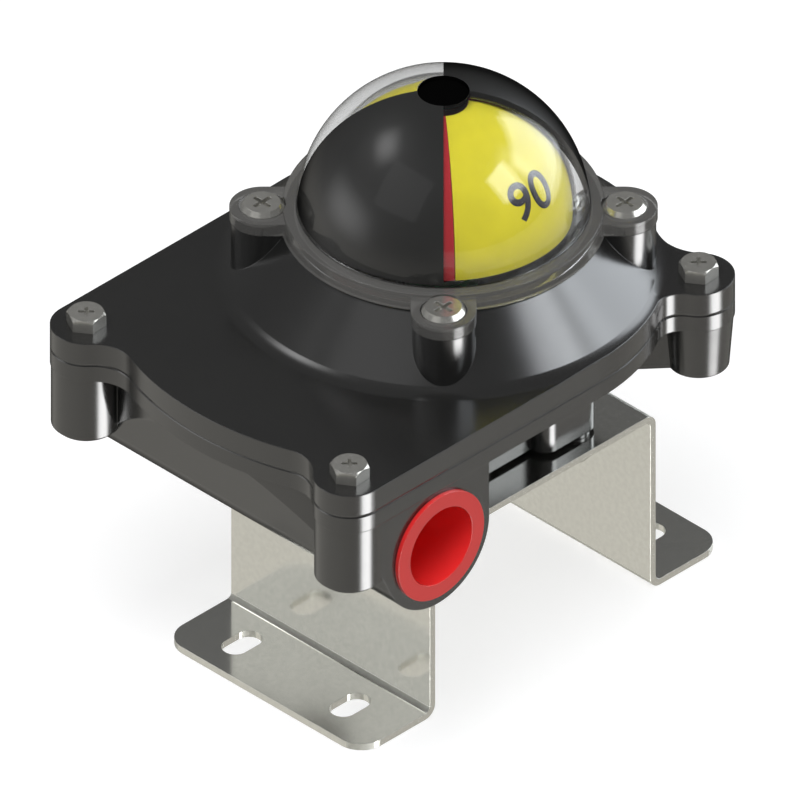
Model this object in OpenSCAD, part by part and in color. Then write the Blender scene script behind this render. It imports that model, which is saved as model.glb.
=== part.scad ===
// Valve position indicator: a limit switch box with a domed visual indicator on a bent bracket.
// The origin is on the shaft axis, at the underside of the bracket feet. +Z is up.
// The long side of the box runs along X, and its two cable entries look along +Y and -Y.

/* [Bracket] */
// Thickness of the bent sheet
sheet_t = 1.5; // [1:0.25:2.5]
// Inner radius of the bends
bend_r = 1.2; // [0.8:0.1:2]
// Height of the top plate's upper face above the feet
bracket_h = 42; // [40:0.5:60]
// Width over the outer faces of the two legs
leg_span = 62.8; // [61:0.2:64]
// Length over both feet
foot_span = 101; // [98:0.5:110]
// Width of the bracket
bracket_w = 55.2; // [53:0.2:62]
// Corner radius of the feet
foot_corner_r = 5.5; // [2:0.5:7]
// Distance between the slot rows, along X
slot_pitch_x = 82; // [80:0.5:84]
// Distance between the slots of one foot, along Y
slot_pitch_y = 30; // [26:0.5:34]
// Length of a slot along X
slot_len = 9.2; // [7:0.2:11]
// Width of a slot
slot_w = 5.5; // [4.5:0.1:6.5]

/* [Bracket screws] */
// Distance between the box screws along X
base_pitch_x = 31; // [30:0.5:32]
// Distance between the box screws along Y
base_pitch_y = 41; // [40:0.5:42]
// Radius of a screw's shank
m4_r = 2; // [1.8:0.05:2.2]
// Play of a screw in a plain hole, on the radius
screw_play = 0.25; // [0.15:0.05:0.4]
// Play of a screw in its tapped hole, on the radius
thread_play = 0.03; // [0.02:0.01:0.1]
// Radius of a pan head
pan_r = 4; // [3.6:0.1:4.4]
// Height of a pan head
pan_h = 3.1; // [2.4:0.1:3.6]
// Radius of the spring washers
washer_r = 4.6; // [4.3:0.1:5]
// Thickness of the spring washers
washer_t = 1; // [0.8:0.1:1.4]
// Length of a box screw below its head
base_screw_len = 12; // [9:0.5:14]
// Width of the split in a spring washer
washer_split = 0.8; // [0.5:0.1:1.2]

/* [Housing plan] */
// Centre of the bolt pattern along X
bolts_cx = -14.2; // [-16:0.1:-13]
// Bolt pitch along X
bolt_pitch_x = 97; // [95:0.5:100]
// Bolt pitch along Y
bolt_pitch_y = 73.2; // [72:0.2:76]
// Radius of the ears round the bolts
ear_r = 7.2; // [6.8:0.1:7.8]
// Radius of the bowed end
end_bow_r = 64; // [60:1:70]
// How far the bowed end reaches past the line of the bolts
end_reach = 6.2; // [5.5:0.1:6.8]
// Hollow between the bowed end and its ears
end_fillet_r = 8; // [5:0.5:10]
// Hollow between the round end and its ears, on the far side
tip_fillet_r = 10; // [6:0.5:12]
// Hollow between the round end and its ears, on the long side
side_fillet_r = 5; // [3:0.5:6]

/* [Housing base] */
// Gap between the bracket and the underside of the base
pad_h = 1; // [0.6:0.1:1.6]
// Depth from the rim to the underside of the base
base_h = 30.3; // [29.5:0.1:33]
// Thickness of the flange round the rim
flange_t = 3.9; // [3.4:0.1:4.4]
// Thickness of the flange's floor inside the rim
flange_floor = 2; // [1.6:0.1:2.4]
// Width of the rim
rim_w = 5.8; // [5.4:0.1:6.4]
// Wall of the lower body
base_wall = 3; // [2.4:0.1:3.4]
// Half width of the lower body
body_half_w = 20.2; // [20:0.1:21]
// Half width of the wide block at the round end
block_half_w = 24; // [24:0.1:25]
// Where the wide block starts
block_x0 = 4; // [3.5:0.1:5]
// Where the wide block ends
block_x1 = 19.9; // [19.5:0.1:21]
// Corner radius of the lower body
block_corner_r = 3.4; // [2:0.1:3.8]
// Radius of the bosses under the rear ears
rear_boss_r = 7; // [6.5:0.1:7.2]
// Length of the bosses under the rear ears, below the flange
rear_boss_h = 15; // [13:0.5:17]
// Length of the bosses under the front ears, below the flange
front_boss_h = 11.8; // [9:0.2:13]
// Radius of the front bosses at their foot
front_boss_foot_r = 6.1; // [5.5:0.1:6.8]
// Thickness of the webs that join the front bosses to the block
web_t = 4.5; // [3:0.5:6]

/* [Cable entries] */
// Place of the entries' axis along X
entry_x = -44.9; // [-45.5:0.1:-44]
// Height of the entries' axis above the bracket's plate
entry_h = 14.3; // [13.8:0.1:15]
// Radius of the barrel round the entries
barrel_r = 14.2; // [13.6:0.1:14.4]
// Radius of the entry bore
entry_r = 9.85; // [9.6:0.05:10.1]
// How far the entry faces lie behind the rim's side
entry_inset = 0.4; // [0.2:0.1:0.8]
// Half length of the wiring space between the entries
wiring_half = 20; // [19:0.5:24]
// Wall of the barrel round the wiring space
barrel_wall = 3; // [2.5:0.1:3.4]

/* [Dust plugs] */
// Radius of a plug's flange
plug_flange_r = 11.9; // [11.2:0.1:12.4]
// Thickness of a plug's flange
plug_flange_t = 0.9; // [0.7:0.1:1.4]
// Wall of the plug
plug_wall = 1.2; // [1:0.1:1.6]
// Depth that a plug reaches into the entry
plug_depth = 15; // [12:0.5:18]
// Play of a plug in its entry, on the radius
plug_play = 0.05; // [0.03:0.01:0.1]

/* [Housing cover] */
// Thickness of the cover at its rim
cover_t = 5.1; // [4.6:0.1:5.6]
// Wall of the cover's skin
cover_wall = 3; // [2.6:0.1:3.2]
// How far the foot of the cone lies inside the round end
cone_inset = 0.6; // [0.3:0.1:1]
// Hollow round the foot of the cone
cone_fillet_r = 5.5; // [4:0.5:6]
// Radius of the dome's seat at the top of the cone
seat_r = 31.2; // [30.8:0.1:31.4]
// Height of the dome's seat above the cover's flat top
seat_h = 12.5; // [11.8:0.1:13.4]
// Height of the upright edge under the seat
seat_neck = 0.5; // [0.3:0.1:0.9]
// Radius of the opening under the dome
opening_r = 25; // [24.4:0.1:25.4]
// Width of the lip that drops into the base
lip_w = 1.6; // [1.3:0.1:2]
// Depth of the lip
lip_h = 1.5; // [1.2:0.1:1.7]
// Play between the lip and the rim
lip_play = 0.15; // [0.1:0.05:0.3]
// Radius of the pillars under the dome's ears
pillar_r = 6.2; // [5.8:0.1:6.4]

/* [Cover gasket and bolts] */
// Distance from the rim's edge to the gasket
gasket_inset = 2.1; // [1.9:0.1:2.4]
// Width of the gasket
gasket_w = 1.8; // [1.4:0.1:2.2]
// Height of the gasket
gasket_h = 1.4; // [1.2:0.1:1.8]
// Play of the gasket in its groove
gasket_play = 0.05; // [0.03:0.01:0.1]
// Width across the flats of a bolt head
hex_af = 7; // [6.6:0.1:7.6]
// Height of a bolt head
hex_h = 2.9; // [2.4:0.1:3.4]
// Bevel on top of a bolt head
hex_bevel = 0.6; // [0.3:0.1:0.8]
// Length of a bolt below its head
bolt_len = 18; // [15:0.5:19]

/* [Dome] */
// Outer radius of the dome
dome_r = 28.9; // [28.6:0.1:29.3]
// Wall of the dome
dome_wall = 2.5; // [2.2:0.1:2.7]
// Height of the sphere's centre above the seat
dome_centre_h = 2; // [1.6:0.1:2.4]
// Radius of the dome's flange at its foot
dome_flange_r = 32.3; // [32:0.1:32.8]
// Radius of the dome's flange at its top
dome_flange_top_r = 31.6; // [31.2:0.1:31.9]
// Thickness of the dome's flange
dome_flange_t = 3.4; // [3:0.1:3.8]
// Half pitch of the dome screws along X and along Y
dome_screw_xy = 25.2; // [25:0.05:25.4]
// Radius of the dome's ears
dome_ear_r = 6.5; // [6.3:0.1:6.7]
// Thickness of the dome's ears
dome_ear_t = 2.8; // [2.5:0.1:3.1]
// Radius of the head of a dome screw
dome_head_r = 4.4; // [4:0.1:4.6]
// Height of the head of a dome screw
dome_head_h = 2.5; // [2.2:0.1:2.8]
// Depth of the recess for a dome screw's head
dome_head_sink = 1.6; // [1.3:0.1:1.8]
// Length of a dome screw below its head
dome_screw_len = 8; // [6:0.5:8.5]
// Radius of the black disc on top
cap_r = 5.05; // [4.6:0.05:5.5]
// Thickness of the black disc
cap_t = 0.5; // [0.4:0.1:0.7]
// How far the disc's face lies below the top of the sphere
cap_sink = 1.4; // [1.2:0.1:1.5]
// Thickness of the black mask inside the dome
mask_t = 0.4; // [0.3:0.05:0.5]
// Play between the mask and the dome
mask_play = 0.04; // [0.02:0.01:0.08]
// Height of the mask's lower edge above the seat
mask_foot_h = 4; // [3.6:0.1:4.4]
// Radius of the O-ring's centre line
dome_ring_r = 28.2; // [27.8:0.1:28.4]
// Thickness of the O-ring
dome_ring_d = 2; // [1.8:0.1:2.2]

/* [Shaft] */
// Height of the shaft's tip above the feet
tip_z = 26.3; // [24:0.1:28]
// Height of the driving tongue
tongue_h = 4; // [3:0.5:5]
// Thickness of the driving tongue
tongue_t = 3.9; // [3.5:0.1:4.2]
// Radius of the shaft's drive end, below the bracket
drive_r = 4.1; // [3.8:0.1:4.2]
// Step between the shaft's circlip and its drive end
drive_step = 0.8; // [0.6:0.1:1.2]
// Step between the drive end and the ends of its tongue
tongue_step = 0.5; // [0.4:0.1:0.8]
// Radius of the shaft in its bushes
journal_r = 5; // [4.6:0.1:5.2]
// Running play in the bushes, on the radius
journal_play = 0.03; // [0.02:0.01:0.06]
// Radius of the shaft's collar
collar_r = 7.5; // [7:0.1:8]
// Thickness of the shaft's collar
collar_t = 2; // [1.5:0.1:2.5]
// Wall of the bushes
bush_wall = 1.5; // [1.2:0.1:1.8]
// Length of a bush
bush_len = 7.5; // [6:0.5:8]
// Radius of the boss round the bushes
shaft_boss_r = 9; // [8.6:0.1:9.4]
// Height of the shaft boss above the base's underside
shaft_boss_h = 19; // [17:0.5:20]
// Radius of the spigot that centres the base in the bracket
spigot_r = 10; // [9.6:0.1:11]
// Length of the spigot below the base's underside
spigot_h = 2.6; // [2.5:0.1:3.2]
// Play of the spigot in the bracket, on the radius
spigot_play = 0.15; // [0.1:0.05:0.3]
// Thickness of the thrust washers
thrust_t = 0.5; // [0.4:0.1:0.7]
// Thickness of the circlips
clip_t = 1; // [0.8:0.1:1.2]
// Depth of the circlip grooves
clip_groove = 0.5; // [0.4:0.1:0.6]
// Reach of a circlip outside the shaft
clip_reach = 1.5; // [1.2:0.1:2]
// Thickness of the shaft's O-rings
shaft_ring_d = 1.6; // [1.4:0.1:1.8]
// Radius over the tips of the shaft's splines
spline_r = 4.5; // [4.2:0.1:4.7]
// Depth of the splines
spline_depth = 0.6; // [0.4:0.1:0.8]
// Number of splines
spline_count = 18; // [12:1:24]
// Play of the cams on the splines
spline_play = 0.08; // [0.05:0.01:0.12]

/* [Cams] */
// Radius of the low part of a cam
cam_low_r = 6.8; // [6.4:0.1:7]
// Rise of a cam
cam_rise = 1.8; // [1.4:0.1:2]
// Height of a cam
cam_t = 5; // [4:0.1:5.4]
// Angle of the steady rise, the valve's quarter turn
stroke_deg = 90; // [80:1:95]
// Angle of the dwell at the top of a cam
dwell_deg = 30; // [20:1:40]
// Angle of the quick flank of a cam
flank_deg = 30; // [20:1:40]
// Gap between a roller and its cam
cam_gap = 0.2; // [0.15:0.01:0.25]
// Thickness of the cam spring's wire
spring_wire = 0.8; // [0.6:0.1:1]
// Turns of the cam spring
spring_turns = 2.5; // [2:0.5:3]
// Height of the cam spring in its place
spring_h = 3.6; // [3.2:0.1:4]

/* [Switches] */
// Length of a switch body
switch_len = 19.8; // [19:0.1:20.2]
// Depth of a switch body
switch_depth = 10.2; // [9.8:0.1:10.4]
// Height of a switch body
switch_h = 6.4; // [6:0.1:6.6]
// Thickness of the insulating sheet between the switches
insulator_t = 0.6; // [0.4:0.1:0.8]
// Radius of a roller
roller_r = 2; // [1.8:0.1:2.2]
// Width of a roller
roller_w = 2.4; // [2:0.1:2.6]
// Distance from the lever's pin to the roller, along X
lever_len = 15.2; // [14.8:0.1:15.6]
// Thickness of the lever
lever_t = 0.4; // [0.3:0.05:0.5]
// Width of the lever
lever_w = 3.6; // [3.4:0.1:3.8]
// Gap between the pressed lever and its switch
lever_gap = 0.4; // [0.35:0.05:0.5]
// Radius of the lever's knuckle
knuckle_r = 1; // [0.9:0.05:1.1]
// Radius of the small pins
pin_r = 0.5; // [0.4:0.05:0.6]
// Play round the small pins, on the radius
pin_play = 0.04; // [0.02:0.01:0.08]
// Distance from the lever's pin to the plunger
plunger_x = 5.5; // [5:0.1:6]
// Radius of the plunger
plunger_r = 0.8; // [0.6:0.05:1]
// Length of the plunger
plunger_len = 3.4; // [3:0.1:4]
// Thickness of the switch plate
plate_t = 1.5; // [1.2:0.1:1.8]
// Pitch of the two screw holes of a switch
switch_hole_pitch = 9.5; // [9:0.1:10]
// Radius of the switch screws
switch_screw_r = 1.1; // [1:0.05:1.2]

/* [Indicator] */
// Outer radius of the coloured drum
drum_r = 25.4; // [25.1:0.05:25.5]
// Wall of the coloured drum
drum_wall = 1.4; // [1.2:0.1:1.7]
// Height of the drum's lower edge above the dome's seat
drum_foot_h = 3.1; // [2.8:0.1:3.4]
// Angle by which the drum is set round past the dome's windows
drum_set_deg = 5; // [0:0.5:8]
// Radius of the open eye at the top of the drum
drum_eye_r = 4.7; // [4.6:0.1:5]
// Radius of the carrier's hub
hub_r = 6; // [5.6:0.1:6.6]
// Height of the carrier's hub
hub_h = 9.5; // [8:0.5:10]
// Thickness of the carrier's disc
disc_t = 1.5; // [1.2:0.1:1.8]
// Radius of the shaft's spigot in the hub
stem_r = 3.2; // [3:0.1:3.4]
// Depth of the flats on the spigot
stem_flat = 0.6; // [0.4:0.1:0.8]
// Height of the splines above the cam circlip
stem_step = 0.6; // [0.4:0.1:1]
// Height of the carrier's disc above the drum's lower edge
disc_lift = 0.3; // [0.1:0.1:0.6]

/* [Terminals] */
// Number of ways of the terminal block
ways = 6; // [4:1:6]
// Pitch of the ways
way_pitch = 5.4; // [5:0.1:5.6]
// Depth of the terminal block along X
block_depth = 14; // [12:0.5:14]
// Height of the terminal block
block_h = 11; // [9:0.5:12]
// Height of the terminal block's seat above the entries' axis
block_seat = 1.7; // [1:0.1:2.5]
// Distance of the terminal screws from the block's middle
way_x = 4.4; // [4.3:0.1:4.6]
// Radius of the wells over the terminal screws
way_well_r = 2.1; // [1.9:0.1:2.2]
// Depth of the wells
way_well = 5; // [4.6:0.1:5.4]
// Radius of the terminal screws
way_screw_r = 1.2; // [1:0.1:1.4]
// Thickness of the clamps under the terminal screws
clamp_t = 0.8; // [0.6:0.1:1]
// Side of the square wire holes
wire_hole = 3.4; // [3:0.1:3.6]

/* [Small screws inside] */
// Radius of an M3 shank
m3_r = 1.5; // [1.4:0.05:1.6]
// Radius of an M3 head
m3_head_r = 2.6; // [2.3:0.1:2.8]
// Height of an M3 head
m3_head_h = 2; // [1.6:0.1:2.2]
// Length of an M3 screw below its head
m3_len = 7; // [6:0.5:8]

/* [Hidden] */
$fn = 72;
eps = 0.01;
over = 1;

// How far a curve is set past an exact touch, so that the two cross
touch_ease = 0.04;
corner_ease = 0.4;

// Shares of a pan head: upright side, radius on top, depth of the cross, its reach and its width
head_side = 0.6;
head_crown = 0.82;
cross_depth = 0.5;
cross_reach = 0.5;
cross_width = 0.2;

// Levels
plate_top = bracket_h;
base_z = plate_top + pad_h;
rim_z = base_z + base_h;
flange_z = rim_z - flange_t;
floor_z = flange_z + flange_floor;
cover_z = rim_z + cover_t;
seat_z = cover_z + seat_h;
dome_cz = seat_z + dome_centre_h;
boss_top_z = base_z + shaft_boss_h;
spigot_z = base_z - spigot_h;
cavity_z = base_z + base_wall;
entry_z = plate_top + entry_h;

// Plan of the housing
half_w = bolt_pitch_y / 2 + ear_r;
cone_foot_r = half_w - cone_inset;
rear_x = bolts_cx - bolt_pitch_x / 2;
front_x = bolts_cx + bolt_pitch_x / 2;
bolt_y = bolt_pitch_y / 2;
bow_cx = rear_x - end_reach + end_bow_r;
entry_face = half_w - entry_inset;
side_strip = 20;

// Cams and switches, from the plate upwards
switch_plate_z = floor_z + plate_t;
switch_z1 = switch_plate_z;
switch_z2 = switch_z1 + switch_h + insulator_t;
cam_z1 = switch_z1 + (switch_h - cam_t) / 2;
cam_z2 = switch_z2 + (switch_h - cam_t) / 2;
cam_foot_t = 0.8;
cam_foot_r = cam_low_r - 0.6;
cam_high_r = cam_low_r + cam_rise;
roller_y = cam_high_r + cam_gap + roller_r;
lever_drop = 0.5;
lever_y = roller_y + roller_r + lever_drop;
pin_y = lever_y;
switch_y0 = lever_y + lever_t / 2 + lever_gap;
switch_y1 = switch_y0 + switch_depth;
pin_x = -lever_len;
switch_end = 1.6;
switch_x0 = pin_x - switch_end;
lever_swing = asin(cam_rise / lever_len);
lever_reach = norm([lever_len, roller_y - pin_y]);
plunger_travel = plunger_x * tan(lever_swing);
plunger_play = 0.05;
plunger_gap = plunger_play + plunger_r * tan(lever_swing);
ring_z = cam_z2 + cam_t + spring_h;
stem_z = ring_z + clip_t + stem_step;

// Indicator
drum_z = seat_z + drum_foot_h;
drum_in_r = drum_r - drum_wall;
disc_z = drum_z + disc_lift;
hub_top_z = stem_z + hub_h;
stem_short = 0.4;
stem_len = hub_h - stem_short;
mask_r = dome_r - dome_wall - mask_play;

// Terminal block
block_z = entry_z + block_seat;
block_ends = 1.6;
block_len = ways * way_pitch + block_ends;
block_post_y = (ways % 2 == 0 ? 1 : 1.5) * way_pitch;

// Point where two circles meet, on the side given by +1 or -1
function meet(a, ra, b, rb, side) =
    let (d = norm(b - a), u = (b - a) / d, p = (d * d + ra * ra - rb * rb) / (2 * d))
    a + u * p + side * sqrt(ra * ra - p * p) * [-u.y, u.x];

// Point at a radius and an angle
function polar(r, a) = [r * cos(a), r * sin(a)];

module at_corners(x, y) {
    for (sx = [-1, 1], sy = [-1, 1]) translate([sx * x, sy * y, 0]) children();
}

module at_bolts(z) {
    for (x = [rear_x, front_x], sy = [-1, 1]) translate([x, sy * bolt_y, z]) children();
}

module both_sides() {
    children();
    mirror([0, 1, 0]) children();
}

module rounded_rect(lo, hi, r) {
    translate([lo.x + r, lo.y]) square([hi.x - lo.x - 2 * r, hi.y - lo.y]);
    translate([lo.x, lo.y + r]) square([hi.x - lo.x, hi.y - lo.y - 2 * r]);
    for (x = [lo.x + r, hi.x - r], y = [lo.y + r, hi.y - r]) translate([x, y]) circle(r);
}

// Tube between two radii, standing at z
module tube(z, h, r_out, r_in) {
    translate([0, 0, z]) difference() {
        cylinder(h = h, r = r_out);
        translate([0, 0, -over]) cylinder(h = h + 2 * over, r = r_in);
    }
}

// Hollow corner between two circles that stand out from each other. Its ends lie a hair inside
// the points of contact, so that the curves cross there.
module hollow_corner(a, ra, b, rb, r, side) {
    c = meet(a, ra + r, b, rb + r, side);
    u = (b - a) / norm(b - a);
    difference() {
        polygon([a, b, c - side * corner_ease * [-u.y, u.x]]);
        translate(c) circle(r);
    }
}

// Outline of the box without its ears, set in by d
module core_plan(d) {
    circle(half_w - d, $fn = 144);
    intersection() {
        translate([bow_cx, 0]) circle(end_bow_r - d, $fn = 180);
        translate([rear_x - 2 * end_reach, d - half_w])
            square([2 * end_reach - rear_x, 2 * (half_w - d)]);
    }
}

// Outline of the rim, with its four ears
module rim_plan() {
    core_plan(0);
    both_sides() {
        translate([rear_x, bolt_y]) circle(ear_r);
        translate([front_x, bolt_y]) circle(ear_r);
        translate([rear_x, bolt_y]) square([side_strip, ear_r]);
        hollow_corner([bow_cx, 0], end_bow_r, [rear_x, bolt_y], ear_r, end_fillet_r, 1);
        hollow_corner([0, 0], half_w, [front_x, bolt_y], ear_r, tip_fillet_r, -1);
        hollow_corner([0, 0], half_w, [front_x, bolt_y], ear_r, side_fillet_r, 1);
    }
}

// Section of one half of the bracket, in X and Z
module bracket_half() {
    out_r = bend_r + sheet_t;
    leg_x = leg_span / 2;
    translate([0, bracket_h - sheet_t]) square([leg_x - out_r, sheet_t]);
    translate([leg_x - sheet_t, out_r]) square([sheet_t, bracket_h - 2 * out_r]);
    translate([leg_x + bend_r, 0]) square([foot_span / 2 - leg_x - bend_r, sheet_t]);
    intersection() {
        translate([leg_x - out_r, bracket_h - out_r]) difference() {
            circle(out_r);
            circle(bend_r);
        }
        translate([leg_x - out_r, bracket_h - out_r]) square(out_r);
    }
    intersection() {
        translate([leg_x + bend_r, out_r]) difference() {
            circle(out_r);
            circle(bend_r);
        }
        translate([leg_x - sheet_t, 0]) square(out_r);
    }
}

module mounting_bracket() {
    color("silver") difference() {
        intersection() {
            rotate([90, 0, 0]) linear_extrude(bracket_w, center = true) {
                bracket_half();
                mirror([1, 0]) bracket_half();
            }
            translate([0, 0, -over]) linear_extrude(bracket_h + 2 * over)
                rounded_rect([-foot_span / 2, -bracket_w / 2], [foot_span / 2, bracket_w / 2],
                    foot_corner_r);
        }
        at_corners(slot_pitch_x / 2, slot_pitch_y / 2) {
            for (s = [-1, 1]) translate([s * (slot_len - slot_w) / 2, 0, -over])
                cylinder(h = sheet_t + 2 * over, r = slot_w / 2);
            translate([-(slot_len - slot_w) / 2, -slot_w / 2, -over])
                cube([slot_len - slot_w, slot_w, sheet_t + 2 * over]);
        }
        at_corners(base_pitch_x / 2, base_pitch_y / 2)
            translate([0, 0, bracket_h - sheet_t - over])
                cylinder(h = sheet_t + 2 * over, r = m4_r + screw_play);
        translate([0, 0, bracket_h - sheet_t - over])
            cylinder(h = sheet_t + 2 * over, r = spigot_r + spigot_play);
    }
}

// Pan-head screw with its seat at z = 0, its head above and its shank below
module pan_screw(shank_r, len, head_r, head_h) {
    translate([0, 0, -len]) cylinder(h = len + eps, r = shank_r);
    difference() {
        union() {
            cylinder(h = head_h * head_side, r = head_r);
            translate([0, 0, head_h * head_side])
                cylinder(h = head_h * (1 - head_side), r1 = head_r, r2 = head_r * head_crown);
        }
        translate([0, 0, head_h * (1 - cross_depth)]) for (a = [0, 90]) rotate(a)
            translate([-head_r * cross_reach, -head_r * cross_width / 2, 0])
                cube([2 * head_r * cross_reach, head_r * cross_width, head_h]);
    }
}

module bracket_screws() {
    color("gainsboro") at_corners(base_pitch_x / 2, base_pitch_y / 2)
        translate([0, 0, bracket_h - sheet_t - washer_t]) mirror([0, 0, 1])
            pan_screw(m4_r, base_screw_len, pan_r, pan_h);
}

module bracket_washers() {
    color("lightgray") at_corners(base_pitch_x / 2, base_pitch_y / 2) difference() {
        tube(bracket_h - sheet_t - washer_t, washer_t, washer_r, m4_r + screw_play);
        translate([0, -washer_split / 2, bracket_h - sheet_t - washer_t - over])
            cube([washer_r + over, washer_split, washer_t + 2 * over]);
    }
}

end_slope_inset = 1.6;

// Section of the barrel and of the sloping end above it, in X and Z. The straight sides meet
// the circle a hair inside it, so that they cross it.
module barrel_section() {
    c = [entry_x, entry_z];
    r = barrel_r - touch_ease;
    top = [rear_x - end_reach + end_slope_inset, flange_z + eps];
    to_top = top - c;
    touch = atan2(to_top.y, to_top.x) + acos(r / norm(to_top));
    translate(c) circle(barrel_r);
    polygon([top, c + polar(r, touch), c, c + [r, 0], [entry_x + r, flange_z + eps]]);
}

module barrel() {
    inset = 0.6;
    intersection() {
        rotate([90, 0, 0]) linear_extrude(2 * entry_face, center = true) barrel_section();
        union() {
            translate([bow_cx, 0, 0]) cylinder(h = rim_z, r = end_bow_r - inset, $fn = 180);
            both_sides() translate([rear_x, bolt_y, 0]) cube([side_strip, ear_r, rim_z]);
        }
    }
}

// Outline of the lower body with its wall set in by d
module body_plan(d) {
    rounded_rect([entry_x, d - body_half_w], [block_x1 - d - block_corner_r, body_half_w - d],
        block_corner_r - d / 2);
    rounded_rect([block_x0 + d, d - block_half_w], [block_x1 - d, block_half_w - d],
        block_corner_r - d / 2);
}

// Posts inside the base: box screws, shaft bushes, switch plate, terminal block and earth screw
plate_post = [[-24, 14], [12.5, 14]];
plate_post_r = 3.4;
box_boss_r = 4.4;
box_pad_r = 3.3;
block_post_r = 3.2;
earth_at = [-14, -8];
earth_boss_r = 3.6;
earth_boss_h = 9;
earth_z = base_z + earth_boss_h;
tap_depth = 7;
entry_overrun = 2;

module inner_posts() {
    translate([0, 0, base_z]) cylinder(h = shaft_boss_h, r = shaft_boss_r);
    at_corners(base_pitch_x / 2, base_pitch_y / 2)
        translate([0, 0, base_z]) cylinder(h = base_screw_len, r = box_boss_r);
    both_sides() for (p = plate_post) translate([p.x, p.y, base_z])
        cylinder(h = floor_z - base_z, r = plate_post_r);
    both_sides() translate([entry_x, block_post_y, entry_z - barrel_r])
        cylinder(h = block_z - entry_z + barrel_r, r = block_post_r);
    translate([earth_at.x, earth_at.y, base_z]) cylinder(h = earth_z - base_z, r = earth_boss_r);
}

// The hollow inside the base
module base_hollow() {
    difference() {
        union() {
            translate([0, 0, floor_z]) linear_extrude(base_h) core_plan(rim_w);
            translate([0, 0, cavity_z]) linear_extrude(base_h) body_plan(base_wall);
            translate([entry_x, 0, entry_z]) rotate([90, 0, 0])
                cylinder(h = 2 * wiring_half, r = barrel_r - barrel_wall, center = true);
            translate([entry_x - barrel_r + barrel_wall, -wiring_half, entry_z])
                cube([2 * (barrel_r - barrel_wall), 2 * wiring_half, base_h]);
        }
        inner_posts();
    }
}

module front_boss() {
    web_bite = 4;
    reach = norm([front_x - block_x1, bolt_y - block_half_w]) + web_bite;
    translate([front_x, bolt_y, flange_z - front_boss_h])
        cylinder(h = front_boss_h + eps, r1 = front_boss_foot_r, r2 = rear_boss_r);
    translate([front_x, bolt_y, flange_z - front_boss_h])
        rotate(180 + atan2(bolt_y - block_half_w, front_x - block_x1))
            translate([0, -web_t / 2, 0]) cube([reach, web_t, front_boss_h + eps]);
}

module rear_boss() {
    foot = 0.8;
    translate([rear_x, bolt_y, flange_z - rear_boss_h]) {
        cylinder(h = foot, r1 = rear_boss_r - foot, r2 = rear_boss_r);
        translate([0, 0, foot]) cylinder(h = rear_boss_h - foot + eps, r = rear_boss_r);
    }
}

module housing_base() {
    ring_r = journal_r + bush_wall;
    color([0.17, 0.17, 0.16]) difference() {
        union() {
            translate([0, 0, flange_z]) linear_extrude(flange_t) rim_plan();
            translate([0, 0, base_z]) linear_extrude(flange_z - base_z + eps) body_plan(0);
            barrel();
            both_sides() front_boss();
            both_sides() rear_boss();
            both_sides() {
                translate([-base_pitch_x / 2, base_pitch_y / 2, plate_top])
                    cylinder(h = base_screw_len, r = box_boss_r);
                translate([base_pitch_x / 2, base_pitch_y / 2, plate_top])
                    cylinder(h = pad_h + over, r = box_pad_r);
            }
            translate([0, 0, spigot_z]) cylinder(h = spigot_h + eps, r = spigot_r);
        }
        base_hollow();
        // Gasket groove and bolt holes
        translate([0, 0, rim_z - gasket_h]) linear_extrude(gasket_h + over) difference() {
            core_plan(gasket_inset - gasket_play);
            core_plan(gasket_inset + gasket_w + gasket_play);
        }
        at_bolts(cover_z - bolt_len - over)
            cylinder(h = bolt_len + over, r = m4_r + thread_play);
        at_corners(base_pitch_x / 2, base_pitch_y / 2) translate([0, 0, plate_top - over])
            cylinder(h = base_screw_len - washer_t - sheet_t + 2 * over, r = m4_r + thread_play);
        // Seats of the two bushes and the bore between them
        translate([0, 0, spigot_z - over])
            cylinder(h = base_h, r = journal_r + screw_play);
        translate([0, 0, spigot_z - over]) cylinder(h = bush_len + over, r = ring_r);
        translate([0, 0, boss_top_z - bush_len]) cylinder(h = bush_len + over, r = ring_r);
        // Cable entries
        both_sides() translate([entry_x, wiring_half - entry_overrun, entry_z])
            rotate([-90, 0, 0])
                cylinder(h = entry_face - wiring_half + entry_overrun + over, r = entry_r);
        // Tapped holes for the screws inside
        both_sides() for (p = plate_post) translate([p.x, p.y, floor_z - tap_depth])
            cylinder(h = tap_depth + over, r = m3_r + thread_play);
        both_sides() translate([entry_x, block_post_y, block_z - tap_depth])
            cylinder(h = tap_depth + over, r = m3_r + thread_play);
        translate([earth_at.x, earth_at.y, earth_z - tap_depth])
            cylinder(h = tap_depth + over, r = m4_r + thread_play);
    }
}

// Ring that fills the corner at the foot of the cone. Its hollow is set a hair into the flat and
// into the cone, so that it crosses both.
module cone_fillet() {
    ease = 0.02;
    bite = 0.5;
    slope = atan2(seat_h - seat_neck, cone_foot_r - seat_r);
    side = cone_fillet_r * tan(slope / 2);
    rotate_extrude($fn = 144) translate([cone_foot_r, cover_z]) difference() {
        polygon([[-side * cos(slope) - bite, side * sin(slope)], [-bite, -bite], [side, -bite],
            [side, 0]]);
        translate([side - ease, cone_fillet_r - ease]) circle(cone_fillet_r, $fn = 144);
    }
}

// Radius of the cone's outer face at a level
function cone_r(z) = cone_foot_r
    - (z - cover_z) * (cone_foot_r - seat_r) / (seat_h - seat_neck);

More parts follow.
